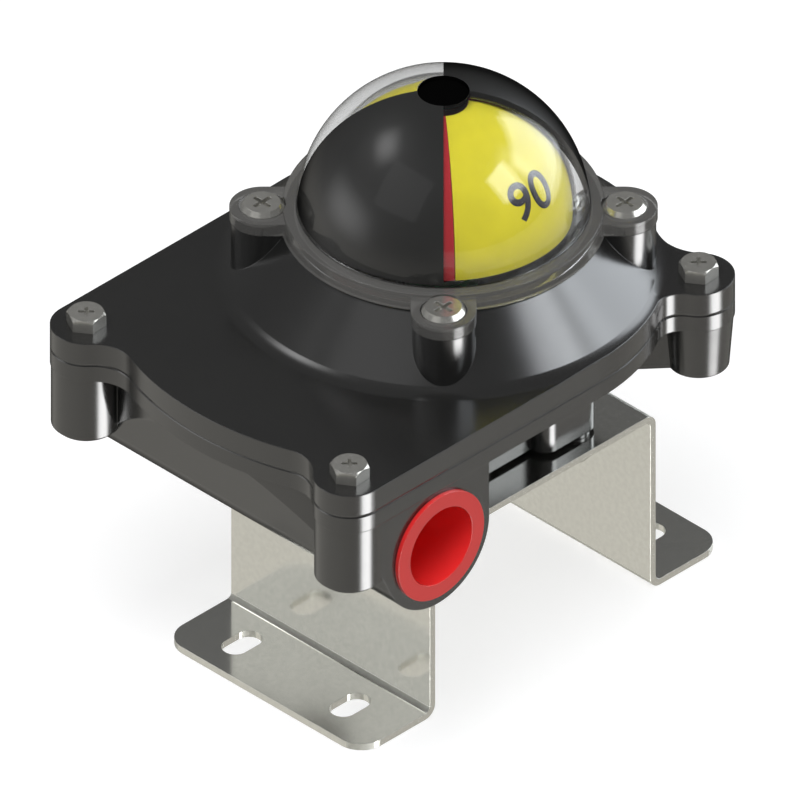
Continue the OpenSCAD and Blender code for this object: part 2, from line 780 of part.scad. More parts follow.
// The hollow under the cover
module cover_hollow() {
    pillar_set = 1;
    hollow_r = half_w - rim_w - lip_play - lip_w;
    slope = cone_foot_r - seat_r;
    rise = seat_h - seat_neck;
    inset = cover_wall * norm([slope, rise]) / rise;
    knee_z = cover_z + (cone_foot_r - inset - hollow_r) * rise / slope;
    top_z = seat_z - cover_wall;
    difference() {
        union() {
            translate([0, 0, rim_z - lip_h - over])
                linear_extrude(cover_t + lip_h + over - cover_wall)
                    core_plan(half_w - hollow_r);
            rotate_extrude($fn = 144) polygon([[0, rim_z], [hollow_r, rim_z],
                [hollow_r, knee_z], [cone_r(top_z) - inset, top_z], [opening_r, top_z],
                [opening_r, seat_z + over], [0, seat_z + over]]);
        }
        at_corners(dome_screw_xy, dome_screw_xy) translate([0, 0, cover_z])
            cylinder(h = seat_h, r = pillar_r - pillar_set);
    }
}

module housing_cover() {
    ring_room = 0.4;
    groove_w = dome_ring_d + ring_room;
    color([0.15, 0.15, 0.15]) difference() {
        union() {
            translate([0, 0, rim_z]) linear_extrude(cover_t) rim_plan();
            translate([0, 0, rim_z - lip_h]) linear_extrude(lip_h + eps)
                core_plan(rim_w + lip_play);
            rotate_extrude($fn = 144) polygon([[0, cover_z - eps], [cone_foot_r, cover_z - eps],
                [seat_r, seat_z - seat_neck], [seat_r, seat_z], [0, seat_z]]);
            intersection() {
                cone_fillet();
                translate([0, 0, rim_z]) linear_extrude(cover_t + seat_h) rim_plan();
            }
            at_corners(dome_screw_xy, dome_screw_xy) translate([0, 0, cover_z - over])
                cylinder(h = seat_h + over, r = pillar_r);
        }
        cover_hollow();
        at_bolts(rim_z - over) cylinder(h = cover_t + 2 * over, r = m4_r + screw_play);
        at_corners(dome_screw_xy, dome_screw_xy)
            translate([0, 0, seat_z - dome_screw_len - over])
                cylinder(h = dome_screw_len + 2 * over, r = m4_r + thread_play);
        tube(seat_z - dome_ring_d - gasket_play, dome_ring_d + over, dome_ring_r + groove_w / 2,
            dome_ring_r - groove_w / 2);
    }
}

module cover_gasket() {
    color("dimgray") translate([0, 0, rim_z - gasket_h]) linear_extrude(gasket_h) difference() {
        core_plan(gasket_inset);
        core_plan(gasket_inset + gasket_w);
    }
}

module cover_bolts() {
    head_r = hex_af / 2 / cos(30);
    hex_turn = 4;
    cross_len = 3.2;
    cross_w = 0.7;
    cross_in = 1;
    color("silver") at_bolts(cover_z) {
        translate([0, 0, -bolt_len]) cylinder(h = bolt_len + eps, r = m4_r);
        difference() {
            rotate(hex_turn) cylinder(h = hex_h, r = head_r, $fn = 6);
            for (a = [45, 135]) rotate(a) translate([-cross_len / 2, -cross_w / 2, hex_h - cross_in])
                cube([cross_len, cross_w, cross_in + over]);
            translate([0, 0, hex_h - hex_bevel]) difference() {
                cylinder(h = over, r = head_r + over);
                cylinder(h = over, r1 = head_r, r2 = head_r - over);
            }
        }
    }
}

module dome_screws() {
    seat = seat_z + dome_ear_t - dome_head_sink;
    color("silver") at_corners(dome_screw_xy, dome_screw_xy) translate([0, 0, seat])
        pan_screw(m4_r, dome_screw_len, dome_head_r, dome_head_h);
}

module clear_dome() {
    neck_bite = 5;
    in_r = dome_r - dome_wall;
    seat = seat_z + dome_ear_t - dome_head_sink;
    color([0.85, 0.9, 0.92, 0.35]) difference() {
        union() {
            intersection() {
                translate([0, 0, dome_cz]) sphere(dome_r, $fn = 96);
                translate([0, 0, seat_z + dome_centre_h]) cylinder(h = dome_r + over, r = dome_r + over);
            }
            translate([0, 0, seat_z]) cylinder(h = dome_centre_h + eps, r = dome_r);
            translate([0, 0, seat_z]) cylinder(h = dome_flange_t, r1 = dome_flange_r,
                r2 = dome_flange_top_r);
            at_corners(dome_screw_xy, dome_screw_xy) translate([0, 0, seat_z])
                cylinder(h = dome_ear_t, r = dome_ear_r);
            // Necks that join the ears to the flange
            for (a = [45:90:315]) rotate(a)
                translate([dome_flange_r - neck_bite, -dome_ear_r, seat_z])
                    cube([norm([dome_screw_xy, dome_screw_xy]) - dome_flange_r + neck_bite,
                        2 * dome_ear_r, dome_ear_t]);
        }
        intersection() {
            translate([0, 0, dome_cz]) sphere(in_r, $fn = 96);
            translate([0, 0, dome_cz - eps]) cylinder(h = dome_r, r = dome_r);
        }
        translate([0, 0, seat_z - over]) cylinder(h = dome_centre_h + over, r = in_r);
        translate([0, 0, dome_cz + dome_r - cap_sink - cap_t])
            cylinder(h = cap_sink + cap_t + over, r = cap_r + mask_play);
        at_corners(dome_screw_xy, dome_screw_xy) {
            translate([0, 0, seat_z - over])
                cylinder(h = dome_ear_t + 2 * over, r = m4_r + screw_play);
            translate([0, 0, seat]) cylinder(h = dome_ear_t + over, r = dome_head_r + screw_play);
        }
    }
}

module dome_cap() {
    color("black") translate([0, 0, dome_cz + dome_r - cap_sink - cap_t])
        cylinder(h = cap_t, r = cap_r);
}

// Half profile of a spherical skin, from a level above the sphere's centre to an eye at the top
module skin_profile(r, t, foot, eye) {
    difference() {
        circle(r, $fn = 120);
        circle(r - t, $fn = 120);
        translate([-r - over, -2 * r]) square([2 * (r + over), 2 * r + foot]);
        translate([-2 * r, -2 * r]) square([2 * r + eye, 4 * r]);
    }
}

// A quarter of a spherical skin, centred on an angle
module quarter_skin(r, t, foot, eye, gap, mid) {
    rotate(mid - 45 + gap) rotate_extrude(angle = 90 - 2 * gap, $fn = 120)
        skin_profile(r, t, foot, eye);
}

module dome_mask() {
    color([0.05, 0.05, 0.05]) translate([0, 0, dome_cz]) for (mid = [0, 180])
        quarter_skin(mask_r, mask_t, mask_foot_h - dome_centre_h, cap_r, 0, mid);
}

module dome_o_ring() {
    color("black") translate([0, 0, seat_z - dome_ring_d / 2 - gasket_play])
        rotate_extrude($fn = 120) translate([dome_ring_r, 0]) circle(dome_ring_d / 2, $fn = 24);
}

// Dust plug of the entry that looks along +Y
module dust_plug() {
    r = entry_r - plug_play;
    translate([entry_x, entry_face, entry_z]) rotate([-90, 0, 0]) difference() {
        union() {
            cylinder(h = plug_flange_t, r = plug_flange_r);
            translate([0, 0, -plug_depth]) cylinder(h = plug_depth + eps, r = r);
        }
        translate([0, 0, plug_wall - plug_depth])
            cylinder(h = plug_depth + plug_flange_t, r = r - plug_wall);
    }
}

module dust_plug_left() {
    color("red") mirror([0, 1, 0]) dust_plug();
}

module dust_plug_right() {
    color("red") dust_plug();
}

// Outline of the splines, grown by d
function spline_points(d) = [
    for (i = [0:2 * spline_count - 1])
        polar(spline_r + d - (i % 2) * spline_depth, i * 180 / spline_count)
];

clip_play = 0.03;
clip_split = 2.4;
stem_tap = 8;
ring_side_play = 0.3;
ring_ease = 0.02;
shaft_clip_z = spigot_z - thrust_t - clip_t;
journal_z = shaft_clip_z - drive_step;
shaft_ring_z = (spigot_z + bush_len + boss_top_z - bush_len) / 2;

module shaft() {
    groove = shaft_ring_d + ring_side_play;
    ring_bed = journal_r + screw_play - shaft_ring_d;
    color("lightsteelblue") difference() {
        union() {
            intersection() {
                translate([-drive_r, -tongue_t / 2, tip_z])
                    cube([2 * drive_r, tongue_t, tongue_h + eps]);
                translate([0, 0, tip_z]) cylinder(h = tongue_h + over, r = drive_r - tongue_step);
            }
            translate([0, 0, tip_z + tongue_h])
                cylinder(h = journal_z - tip_z - tongue_h + eps, r = drive_r);
            translate([0, 0, journal_z])
                cylinder(h = cam_z1 - cam_foot_t - journal_z, r = journal_r);
            translate([0, 0, boss_top_z + thrust_t]) cylinder(h = collar_t, r = collar_r);
            translate([0, 0, cam_z1 - cam_foot_t]) cylinder(h = cam_foot_t, r = cam_foot_r);
            translate([0, 0, cam_z1 - eps]) linear_extrude(stem_z - cam_z1)
                polygon(spline_points(0));
            translate([0, 0, stem_z - over]) difference() {
                cylinder(h = stem_len + over, r = stem_r);
                for (s = [-1, 1]) translate([-stem_r, s * stem_r - stem_r
                    + (s < 0 ? stem_flat - stem_r : stem_r - stem_flat), over])
                    cube([2 * stem_r, 2 * stem_r, stem_len + over]);
            }
        }
        for (s = [-1, 1]) tube(shaft_ring_z + s * shaft_ring_d - groove / 2, groove,
            journal_r + over, ring_bed);
        tube(shaft_clip_z - clip_play, clip_t + 2 * clip_play, journal_r + over,
            journal_r - clip_groove);
        tube(ring_z - clip_play, clip_t + 2 * clip_play, spline_r + over,
            spline_r - spline_depth - clip_groove);
        translate([0, 0, stem_z + stem_len - stem_tap])
            cylinder(h = stem_tap + over, r = m3_r + thread_play);
    }
}

module shaft_bushes() {
    color("tan") for (z = [spigot_z, boss_top_z - bush_len])
        tube(z, bush_len, journal_r + bush_wall, journal_r + journal_play);
}

module shaft_o_rings() {
    r = journal_r + screw_play - shaft_ring_d / 2;
    color("black") for (s = [-1, 1]) translate([0, 0, shaft_ring_z + s * shaft_ring_d])
        rotate_extrude() translate([r, 0]) circle(shaft_ring_d / 2 - ring_ease, $fn = 24);
}

module thrust_washers() {
    color("wheat") {
        tube(boss_top_z, thrust_t, collar_r, journal_r + journal_play);
        tube(spigot_z - thrust_t, thrust_t, collar_r, journal_r + journal_play);
    }
}

// Circlip with its gap, round a shaft of radius r
module circlip(z, r) {
    bed = r - clip_groove + clip_play;
    color("gray") difference() {
        tube(z, clip_t, r + clip_reach, bed);
        translate([0, -clip_split / 2, z - over])
            cube([r + clip_reach + over, clip_split, clip_t + 2 * over]);
    }
}

module shaft_circlip() {
    circlip(shaft_clip_z, journal_r);
}

module cam_circlip() {
    circlip(ring_z, spline_r - spline_depth);
}

// Radius of a cam, a degrees past the start of its steady fall
function cam_radius(a) =
    a < stroke_deg ? cam_high_r - cam_rise * a / stroke_deg
    : a < 360 - dwell_deg - flank_deg ? cam_low_r
    : a < 360 - dwell_deg ? cam_high_r - cam_rise * (360 - dwell_deg - a) / flank_deg
    : cam_high_r;

// A cam whose steady fall starts at an angle and runs round in the sense given by dir
module cam(z, start, dir) {
    step = 3;
    difference() {
        translate([0, 0, z]) linear_extrude(cam_t)
            polygon([for (a = [0:step:360 - step]) polar(cam_radius(a), start + dir * a)]);
        translate([0, 0, z - over]) linear_extrude(cam_t + 2 * over)
            polygon(spline_points(spline_play));
    }
}

module cam_open() {
    color("green") cam(cam_z1, 90, 1);
}

module cam_closed() {
    color("red") cam(cam_z2, 90 + stroke_deg, -1);
}

module cam_spacer() {
    color("whitesmoke")
        tube(cam_z1 + cam_t, cam_z2 - cam_z1 - cam_t, cam_foot_r, spline_r + spline_play);
}

// Coil spring as rings of points swept along a helix
spring_room = 0.25;
spring_rest = 0.02;
spring_r = spline_r + spring_wire / 2 + spring_room;
spring_sides = 8;
spring_steps = 20 * spring_turns;
spring_lift = ring_z - cam_z2 - cam_t - spring_wire - 2 * spring_rest;

function spring_point(i, j) =
    let (f = i / spring_steps, a = 360 * spring_turns * f, b = 360 * j / spring_sides,
        r = spring_r + spring_wire / 2 * cos(b))
    [r * cos(a), r * sin(a),
        cam_z2 + cam_t + spring_rest + spring_wire / 2 * (1 + sin(b)) + spring_lift * f];

module cam_spring() {
    n = spring_sides;
    color("silver") polyhedron(
        points = [for (i = [0:spring_steps], j = [0:n - 1]) spring_point(i, j)],
        faces = concat(
            [[for (j = [0:n - 1]) j]],
            [for (i = [0:spring_steps - 1], j = [0:n - 1])
                [i * n + j, (i + 1) * n + j, (i + 1) * n + (j + 1) % n, i * n + (j + 1) % n]],
            [[for (j = [n - 1:-1:0]) spring_steps * n + j]]));
}

// Flats of the spigot cut out of the hub's bore
module stem_bore(z, h) {
    translate([0, 0, z]) intersection() {
        cylinder(h = h, r = stem_r + journal_play);
        translate([-stem_r - over, stem_flat - stem_r - journal_play, 0])
            cube([2 * (stem_r + over), 2 * (stem_r - stem_flat + journal_play), h]);
    }
}

module indicator_carrier() {
    disc_r = drum_in_r - 0.5;
    rib_end = drum_in_r - 4;
    rib_t = 1.4;
    rib_h = 4;
    light_hole_r = 4;
    color("dimgray") difference() {
        union() {
            translate([0, 0, stem_z]) cylinder(h = hub_h, r = hub_r);
            translate([0, 0, disc_z]) cylinder(h = disc_t, r = disc_r);
            for (a = [0:45:315]) rotate(a) translate([0, -rib_t / 2, disc_z])
                cube([rib_end, rib_t, rib_h]);
        }
        stem_bore(stem_z - over, stem_len + over);
        translate([0, 0, stem_z]) cylinder(h = hub_h + over, r = m3_r + screw_play);
        for (a = [0:90:270]) rotate(a + 22.5)
            translate([(drum_in_r + hub_r) / 2, 0, disc_z - over])
                cylinder(h = disc_t + 2 * over, r = light_hole_r);
    }
}

// One quarter of the drum with the ledge that rests on the carrier's disc
module drum_quarter(mid) {
    foot = drum_z - dome_cz;
    ledge_t = 1.2;
    ledge_w = 3;
    ledge_bite = 0.4;
    ledge_r = sqrt(pow(drum_in_r, 2) - pow(disc_z + disc_t + ledge_t - dome_cz, 2)) + ledge_bite;
    gap = 0.15;
    translate([0, 0, dome_cz]) {
        quarter_skin(drum_r, drum_wall, foot, drum_eye_r, gap, mid + drum_set_deg);
        rotate(mid + drum_set_deg - 45 + gap) rotate_extrude(angle = 90 - 2 * gap, $fn = 120)
            translate([ledge_r - ledge_w, disc_z + disc_t - dome_cz])
                square([ledge_w, ledge_t]);
    }
}

module indicator_yellow() {
    color("gold") for (mid = [90, 270]) drum_quarter(mid);
}

module indicator_red() {
    color("crimson") for (mid = [0, 180]) drum_quarter(mid);
}

module indicator_screw() {
    color("silver") translate([0, 0, hub_top_z]) pan_screw(m3_r, m3_len, m3_head_r, m3_head_h);
}

module switch_plate() {
    margin = 4;
    corner_r = 3;
    shaft_room = 2;
    color("lightgray") difference() {
        translate([0, 0, floor_z]) linear_extrude(plate_t)
            rounded_rect([plate_post[0].x - margin, -plate_post[0].y - margin],
                [plate_post[1].x + margin, switch_y1 + 1], corner_r);
        translate([0, 0, floor_z - over])
            cylinder(h = plate_t + 2 * over, r = collar_r + shaft_room);
        both_sides() for (p = plate_post) translate([p.x, p.y, floor_z - over])
            cylinder(h = plate_t + 2 * over, r = m3_r + screw_play);
        for (s = [-1, 1]) translate([switch_cx + s * switch_hole_pitch / 2, switch_hole_y,
            floor_z - over]) cylinder(h = plate_t + 2 * over, r = switch_screw_r + thread_play);
    }
}

module plate_screws() {
    color("silver") both_sides() for (p = plate_post) translate([p.x, p.y, switch_plate_z])
        pan_screw(m3_r, m3_len, m3_head_r, m3_head_h);
}

switch_cx = switch_x0 + switch_len / 2;
switch_hole_in = 2.9;
switch_hole_y = switch_y1 - switch_hole_in;
lug_wall = 0.9;
lug_play = 0.15;
lug_t = (switch_h - lever_w) / 2 - lug_play;

// Switch body at z with its two lugs for the lever's pin
module switch_body(z) {
    lug = pin_r + lug_wall;
    well = 0.6;
    difference() {
        union() {
            translate([switch_x0, switch_y0, z]) cube([switch_len, switch_depth, switch_h]);
            for (dz = [0, switch_h - lug_t]) translate([pin_x, pin_y, z + dz]) {
                cylinder(h = lug_t, r = lug);
                translate([-lug, 0, 0]) cube([2 * lug, switch_y0 - pin_y + eps, lug_t]);
            }
        }
        translate([pin_x, pin_y, z - over])
            cylinder(h = switch_h + 2 * over, r = pin_r + thread_play);
        translate([pin_x, pin_y, z + lug_t])
            cylinder(h = switch_h - 2 * lug_t, r = knuckle_r + lug_play);
        translate([pin_x + plunger_x, switch_y0 - over, z + switch_h / 2]) rotate([-90, 0, 0])
            cylinder(h = plunger_len + over + well, r = plunger_r + pin_play);
        for (s = [-1, 1])
            translate([switch_cx + s * switch_hole_pitch / 2, switch_hole_y, z - over])
                cylinder(h = switch_h + 2 * over, r = switch_screw_r + thread_play);
    }
}

module switch_open() {
    color([0.12, 0.13, 0.16]) switch_body(switch_z1);
}

module switch_closed() {
    color([0.12, 0.13, 0.16]) switch_body(switch_z2);
}

module switch_insulator() {
    tag_guard = 1.5;
    color("ivory") translate([0, 0, switch_z1 + switch_h]) linear_extrude(insulator_t)
        difference() {
            translate([switch_x0, switch_y0]) square([switch_len, switch_depth + tag_guard]);
            for (s = [-1, 1]) translate([switch_cx + s * switch_hole_pitch / 2, switch_hole_y])
                circle(switch_screw_r + thread_play);
        }
}

module switch_screws() {
    len = switch_z2 + switch_h - floor_z;
    head_r = 2;
    head_h = 1.4;
    color("silver") for (s = [-1, 1])
        translate([switch_cx + s * switch_hole_pitch / 2, switch_hole_y, switch_z2 + switch_h])
            pan_screw(switch_screw_r, len, head_r, head_h);
}

// Solder tags at the back of the switches, each with a hole for the wire
module switch_tags() {
    pitch = 7.3;
    tag_t = 0.5;
    tag = 3.2;
    hole_r = 0.6;
    hole_y = 2.1;
    color("goldenrod") for (z = [switch_z1, switch_z2], k = [-1, 0, 1])
        translate([switch_cx + k * pitch - tag_t / 2, switch_y1, z + (switch_h - tag) / 2])
            difference() {
                cube([tag_t, tag, tag]);
                translate([-over, hole_y, tag / 2]) rotate([0, 90, 0])
                    cylinder(h = tag_t + 2 * over, r = hole_r);
            }
}

module lever_pins() {
    color("silver") for (z = [switch_z1, switch_z2]) translate([pin_x, pin_y, z])
        cylinder(h = switch_h, r = pin_r);
}

// Lever at z, pressed home, with its knuckle and the fork that holds the roller
module lever(z) {
    z0 = z + (switch_h - lever_w) / 2;
    fork_play = 0.1;
    fork_t = (lever_w - roller_w) / 2 - fork_play;
    fork_r = 1.2;
    tail = 1.6;
    difference() {
        union() {
            translate([pin_x, pin_y, z0]) cylinder(h = lever_w, r = knuckle_r);
            translate([pin_x, lever_y - lever_t / 2, z0])
                cube([lever_len + tail, lever_t, lever_w]);
            for (dz = [0, lever_w - fork_t]) translate([0, roller_y, z0 + dz]) {
                cylinder(h = fork_t, r = fork_r);
                translate([-fork_r, 0, 0]) cube([2 * fork_r, lever_y - roller_y, fork_t]);
            }
        }
        translate([pin_x, pin_y, z0 - over])
            cylinder(h = lever_w + 2 * over, r = pin_r + pin_play);
        translate([0, roller_y, z0 - over])
            cylinder(h = lever_w + 2 * over, r = pin_r + thread_play);
    }
}

module roller(z) {
    translate([0, 0, z + (switch_h - roller_w) / 2]) difference() {
        translate([0, roller_y, 0]) cylinder(h = roller_w, r = roller_r);
        translate([0, roller_y, -over]) cylinder(h = roller_w + 2 * over, r = pin_r + pin_play);
    }
}

module roller_pin(z) {
    translate([0, roller_y, z + (switch_h - lever_w) / 2]) cylinder(h = lever_w, r = pin_r);
}

// Turns what rides on a lever away from its switch
module released() {
    translate([pin_x, pin_y, 0]) rotate(-lever_swing) translate([-pin_x, -pin_y, 0]) children();
}

module lever_open() {
    color("silver") lever(switch_z1);
}

module lever_closed() {
    color("silver") released() lever(switch_z2);
}

module roller_open() {
    color("white") roller(switch_z1);
}

module roller_closed() {
    color("white") released() roller(switch_z2);
}

module roller_pin_open() {
    color("silver") roller_pin(switch_z1);
}

module roller_pin_closed() {
    color("silver") released() roller_pin(switch_z2);
}

// Plunger at z, standing out from the switch by its gap and the travel given
module plunger(z, out) {
    tip = lever_y + lever_t / 2 + plunger_gap - out;
    translate([pin_x + plunger_x, tip, z + switch_h / 2]) rotate([-90, 0, 0])
        cylinder(h = plunger_len, r = plunger_r);
}

module plunger_open() {
    color("red") plunger(switch_z1, 0);
}

module plunger_closed() {
    color("red") plunger(switch_z2, plunger_travel);
}

way_y = [for (i = [0:ways - 1]) (i - (ways - 1) / 2) * way_pitch];
way_head_h = 1.4;
way_head_r = way_well_r - 0.2;
way_seat = 1.9;
block_head_r = 2.4;
block_head_sink = 3;
block_screw_bite = 5;
block_screw_len = block_h - block_head_sink + block_screw_bite;

module terminal_block() {
    top = block_z + block_h;
    hole_reach = 6;
    color("darkslategray") difference() {
        translate([entry_x - block_depth / 2, -block_len / 2, block_z])
            cube([block_depth, block_len, block_h]);
        for (y = way_y, s = [-1, 1]) {
            translate([entry_x + s * way_x, y, top - way_well])
                cylinder(h = way_well + over, r = way_well_r);
            translate([entry_x + s * (block_depth / 2 - hole_reach / 2 + over / 2), y,
                top - way_well - wire_hole / 2 + eps])
                cube([hole_reach + over, wire_hole, wire_hole], center = true);
        }
        both_sides() translate([entry_x, block_post_y, block_z - over])
            cylinder(h = block_h + 2 * over, r = m3_r + screw_play);
        both_sides() translate([entry_x, block_post_y, top - block_head_sink])
            cylinder(h = block_head_sink + over, r = block_head_r + screw_play);
    }
}

module terminal_screws() {
    color("silver") for (y = way_y, s = [-1, 1])
        translate([entry_x + s * way_x, y, block_z + block_h - way_seat])
            pan_screw(way_screw_r, way_well - clamp_t - way_seat, way_head_r, way_head_h);
}

module terminal_clamps() {
    color("gold") for (y = way_y, s = [-1, 1])
        translate([entry_x + s * way_x, y, block_z + block_h - way_well])
            cylinder(h = clamp_t, r = way_head_r);
}

module terminal_block_screws() {
    color("silver") both_sides()
        translate([entry_x, block_post_y, block_z + block_h - block_head_sink])
            pan_screw(m3_r, block_screw_len, block_head_r, m3_head_h);
}

module earth_screw() {
    earth_len = 6;
    color("green") translate([earth_at.x, earth_at.y, earth_z])
        pan_screw(m4_r, earth_len, pan_r, pan_h);
}

mounting_bracket();
bracket_screws();
bracket_washers();
housing_base();
housing_cover();
cover_gasket();
cover_bolts();
clear_dome();
dome_mask();
dome_cap();
dome_o_ring();
dome_screws();
dust_plug_left();
dust_plug_right();
shaft();
shaft_bushes();
shaft_o_rings();
thrust_washers();
shaft_circlip();
cam_open();
cam_closed();
cam_spacer();
cam_spring();
cam_circlip();
indicator_carrier();
indicator_yellow();
indicator_red();
indicator_screw();
switch_plate();
plate_screws();
switch_open();
switch_closed();
switch_insulator();
switch_screws();
switch_tags();
lever_pins();
lever_open();
lever_closed();
roller_open();
roller_closed();
roller_pin_open();
roller_pin_closed();
plunger_open();
plunger_closed();
terminal_block();
terminal_screws();
terminal_clamps();
terminal_block_screws();
earth_screw();
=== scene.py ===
"""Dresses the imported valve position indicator: finishes, dial figures, studio and camera.

The CAD nodes keep their shapes and get procedural finishes. The only new pieces are the
figures printed on the turning drum under the clear dome.
"""

import logging
import math
from collections.abc import Iterable
from dataclasses import dataclass, field
from enum import Enum
from typing import ClassVar

import bmesh
import bpy
from mathutils import Matrix, Vector


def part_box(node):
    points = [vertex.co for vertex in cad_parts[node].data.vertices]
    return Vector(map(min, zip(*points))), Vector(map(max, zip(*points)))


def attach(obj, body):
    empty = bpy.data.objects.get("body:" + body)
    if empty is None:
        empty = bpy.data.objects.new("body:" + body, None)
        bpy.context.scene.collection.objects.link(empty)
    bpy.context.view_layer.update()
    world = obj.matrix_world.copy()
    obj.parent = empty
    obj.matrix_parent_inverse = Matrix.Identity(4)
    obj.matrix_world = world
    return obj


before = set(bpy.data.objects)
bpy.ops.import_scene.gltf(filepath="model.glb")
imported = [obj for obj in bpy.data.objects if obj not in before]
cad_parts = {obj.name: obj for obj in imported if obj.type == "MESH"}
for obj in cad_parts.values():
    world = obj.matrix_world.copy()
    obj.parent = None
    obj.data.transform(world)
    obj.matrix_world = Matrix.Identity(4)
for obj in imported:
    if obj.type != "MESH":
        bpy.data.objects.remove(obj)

log = logging.getLogger("indicator")

MM = 0.001
Colour = tuple[float, float, float]
Range = tuple[float, float]
WHITE: Colour = (1.0, 1.0, 1.0)
UPWARDS = (0.0, 0.0, 1.0)


class Grain(Enum):
    """How the fine marks of a surface run. The values are marks per metre along X, Y and Z."""

    TURNED = (500.0, 500.0, 5200.0)
    SATIN = (2600.0, 2600.0, 2600.0)
    PEEL = (330.0, 330.0, 330.0)
    MOULDED = (900.0, 900.0, 900.0)


class Graph:
    """Adds nodes to a node tree and joins them."""

    def __init__(self, tree: bpy.types.NodeTree) -> None:
        """Takes the tree that the nodes go into.

        Args:
            tree: node tree of a material, a world or a group.
        """
        self.tree = tree

    def add(self, kind: str, **values: object) -> bpy.types.Node:
        """Adds a node and sets its input sockets or links them.

        Args:
            kind: Blender's name for the node's type.
            **values: socket name with underscores for spaces, and a value or an output socket.

        Returns:
            The new node.
        """
        node = self.tree.nodes.new(kind)
        for name, value in values.items():
            self.put(node.inputs[name.replace("_", " ")], value)
        return node

    def put(self, socket: bpy.types.NodeSocket, value: object) -> None:
        """Sets one socket, or links it if the value is an output socket.

        Args:
            socket: the input socket.
            value: a number, a tuple or an output socket.
        """
        if isinstance(value, bpy.types.NodeSocket):
            self.tree.links.new(value, socket)
        else:
            socket.default_value = value

    def math(self, operation: str, a: object, b: object = 0.0) -> bpy.types.NodeSocket:
        """Adds a Math node.

        Args:
            operation: Blender's name for the operation.
            a: first value or socket.
            b: second value or socket.

        Returns:
            The node's output socket.
        """
        node = self.tree.nodes.new("ShaderNodeMath")
        node.operation = operation
        self.put(node.inputs[0], a)
        self.put(node.inputs[1], b)
        return node.outputs[0]

    def vector(self, operation: str, a: object, b: object,
               output: str = "Vector") -> bpy.types.NodeSocket:
        """Adds a Vector Math node.

        Args:
            operation: Blender's name for the operation.
            a: first vector or socket.
            b: second vector or socket.
            output: which of its outputs is wanted.

        Returns:
            The output socket.
        """
        node = self.tree.nodes.new("ShaderNodeVectorMath")
        node.operation = operation
        self.put(node.inputs[0], a)
        self.put(node.inputs[1], b)
        return node.outputs[output]

    def dot(self, a: object, b: object) -> bpy.types.NodeSocket:
        """Dot product of two vectors, each a tuple or a socket."""
        return self.vector("DOT_PRODUCT", a, b, "Value")

    def step(self, high: object, low: object, width: float) -> bpy.types.NodeSocket:
        """Gives 1 where the first value is above the second, and 0 elsewhere.

        Args:
            high: value or socket that is to be the larger.
            low: value or socket that is to be the smaller.
            width: difference over which the result rises.

        Returns:
            The result socket.
        """
        return self.ramp(self.math("SUBTRACT", high, low), -width / 2, width / 2)

    def group(self, tree: bpy.types.NodeTree, **values: object) -> bpy.types.Node:
        """Adds a node group and sets its input sockets or links them.

        Args:
            tree: the group's own node tree.
            **values: input name with underscores for spaces, and a value or an output socket.

        Returns:
            The new group node.
        """
        node = self.tree.nodes.new("ShaderNodeGroup")
        node.node_tree = tree
        for name, value in values.items():
            self.put(node.inputs[name.replace("_", " ")], value)
        return node

    def blend(self, factor: object, a: bpy.types.NodeSocket,
              b: bpy.types.NodeSocket) -> bpy.types.NodeSocket:
        """Mixes two shaders.

        Args:
            factor: share of the second shader.
            a: first shader.
            b: second shader.

        Returns:
            The mixed shader's socket.
        """
        node = self.tree.nodes.new("ShaderNodeMixShader")
        self.put(node.inputs[0], factor)
        self.put(node.inputs[1], a)
        self.put(node.inputs[2], b)
        return node.outputs[0]

    def both(self, a: bpy.types.NodeSocket, b: bpy.types.NodeSocket) -> bpy.types.NodeSocket:
        """Adds two shaders.

        Args:
            a: first shader.
            b: second shader.

        Returns:
            The summed shader's socket.
        """
        node = self.tree.nodes.new("ShaderNodeAddShader")
        self.put(node.inputs[0], a)
        self.put(node.inputs[1], b)
        return node.outputs[0]

    def ramp(self, value: object, lo: float, hi: float, to_lo: object = 0.0,
             to_hi: object = 1.0, smooth: bool = True) -> bpy.types.NodeSocket:
        """Maps a value between two limits on to two others.

        Args:
            value: the value or socket to map.
            lo: where the rise starts.
            hi: where the rise ends.
            to_lo: result at and below lo.
            to_hi: result at and above hi.
            smooth: whether the rise is eased at both ends.

        Returns:
            The result socket.
        """
        node = self.tree.nodes.new("ShaderNodeMapRange")
        node.interpolation_type = "SMOOTHSTEP" if smooth else "LINEAR"
        for name, item in (("Value", value), ("From Min", lo), ("From Max", hi),
                           ("To Min", to_lo), ("To Max", to_hi)):
            self.put(node.inputs[name], item)
        return node.outputs["Result"]

    def mix(self, factor: object, a: object, b: object) -> bpy.types.NodeSocket:
        """Mixes two colours.

        Args:
            factor: share of the second colour.
            a: first colour or socket.
            b: second colour or socket.

        Returns:
            The colour socket.
        """
        node = self.tree.nodes.new("ShaderNodeMix")
        node.data_type = "RGBA"
        self.put(node.inputs[0], factor)
        self.put(node.inputs[6], a)
        self.put(node.inputs[7], b)
        return node.outputs[2]

    def noise(self, vector: object, scale: float, detail: float = 3.0) -> bpy.types.NodeSocket:
        """Adds a noise texture and gives its value from 0 to 1."""
        node = self.add("ShaderNodeTexNoise", Vector=vector, Scale=scale, Detail=detail)
        return node.outputs[0]


def rgba(colour: Colour) -> tuple[float, float, float, float]:
    """Adds an opaque alpha to a colour."""
    return (*colour, 1.0)


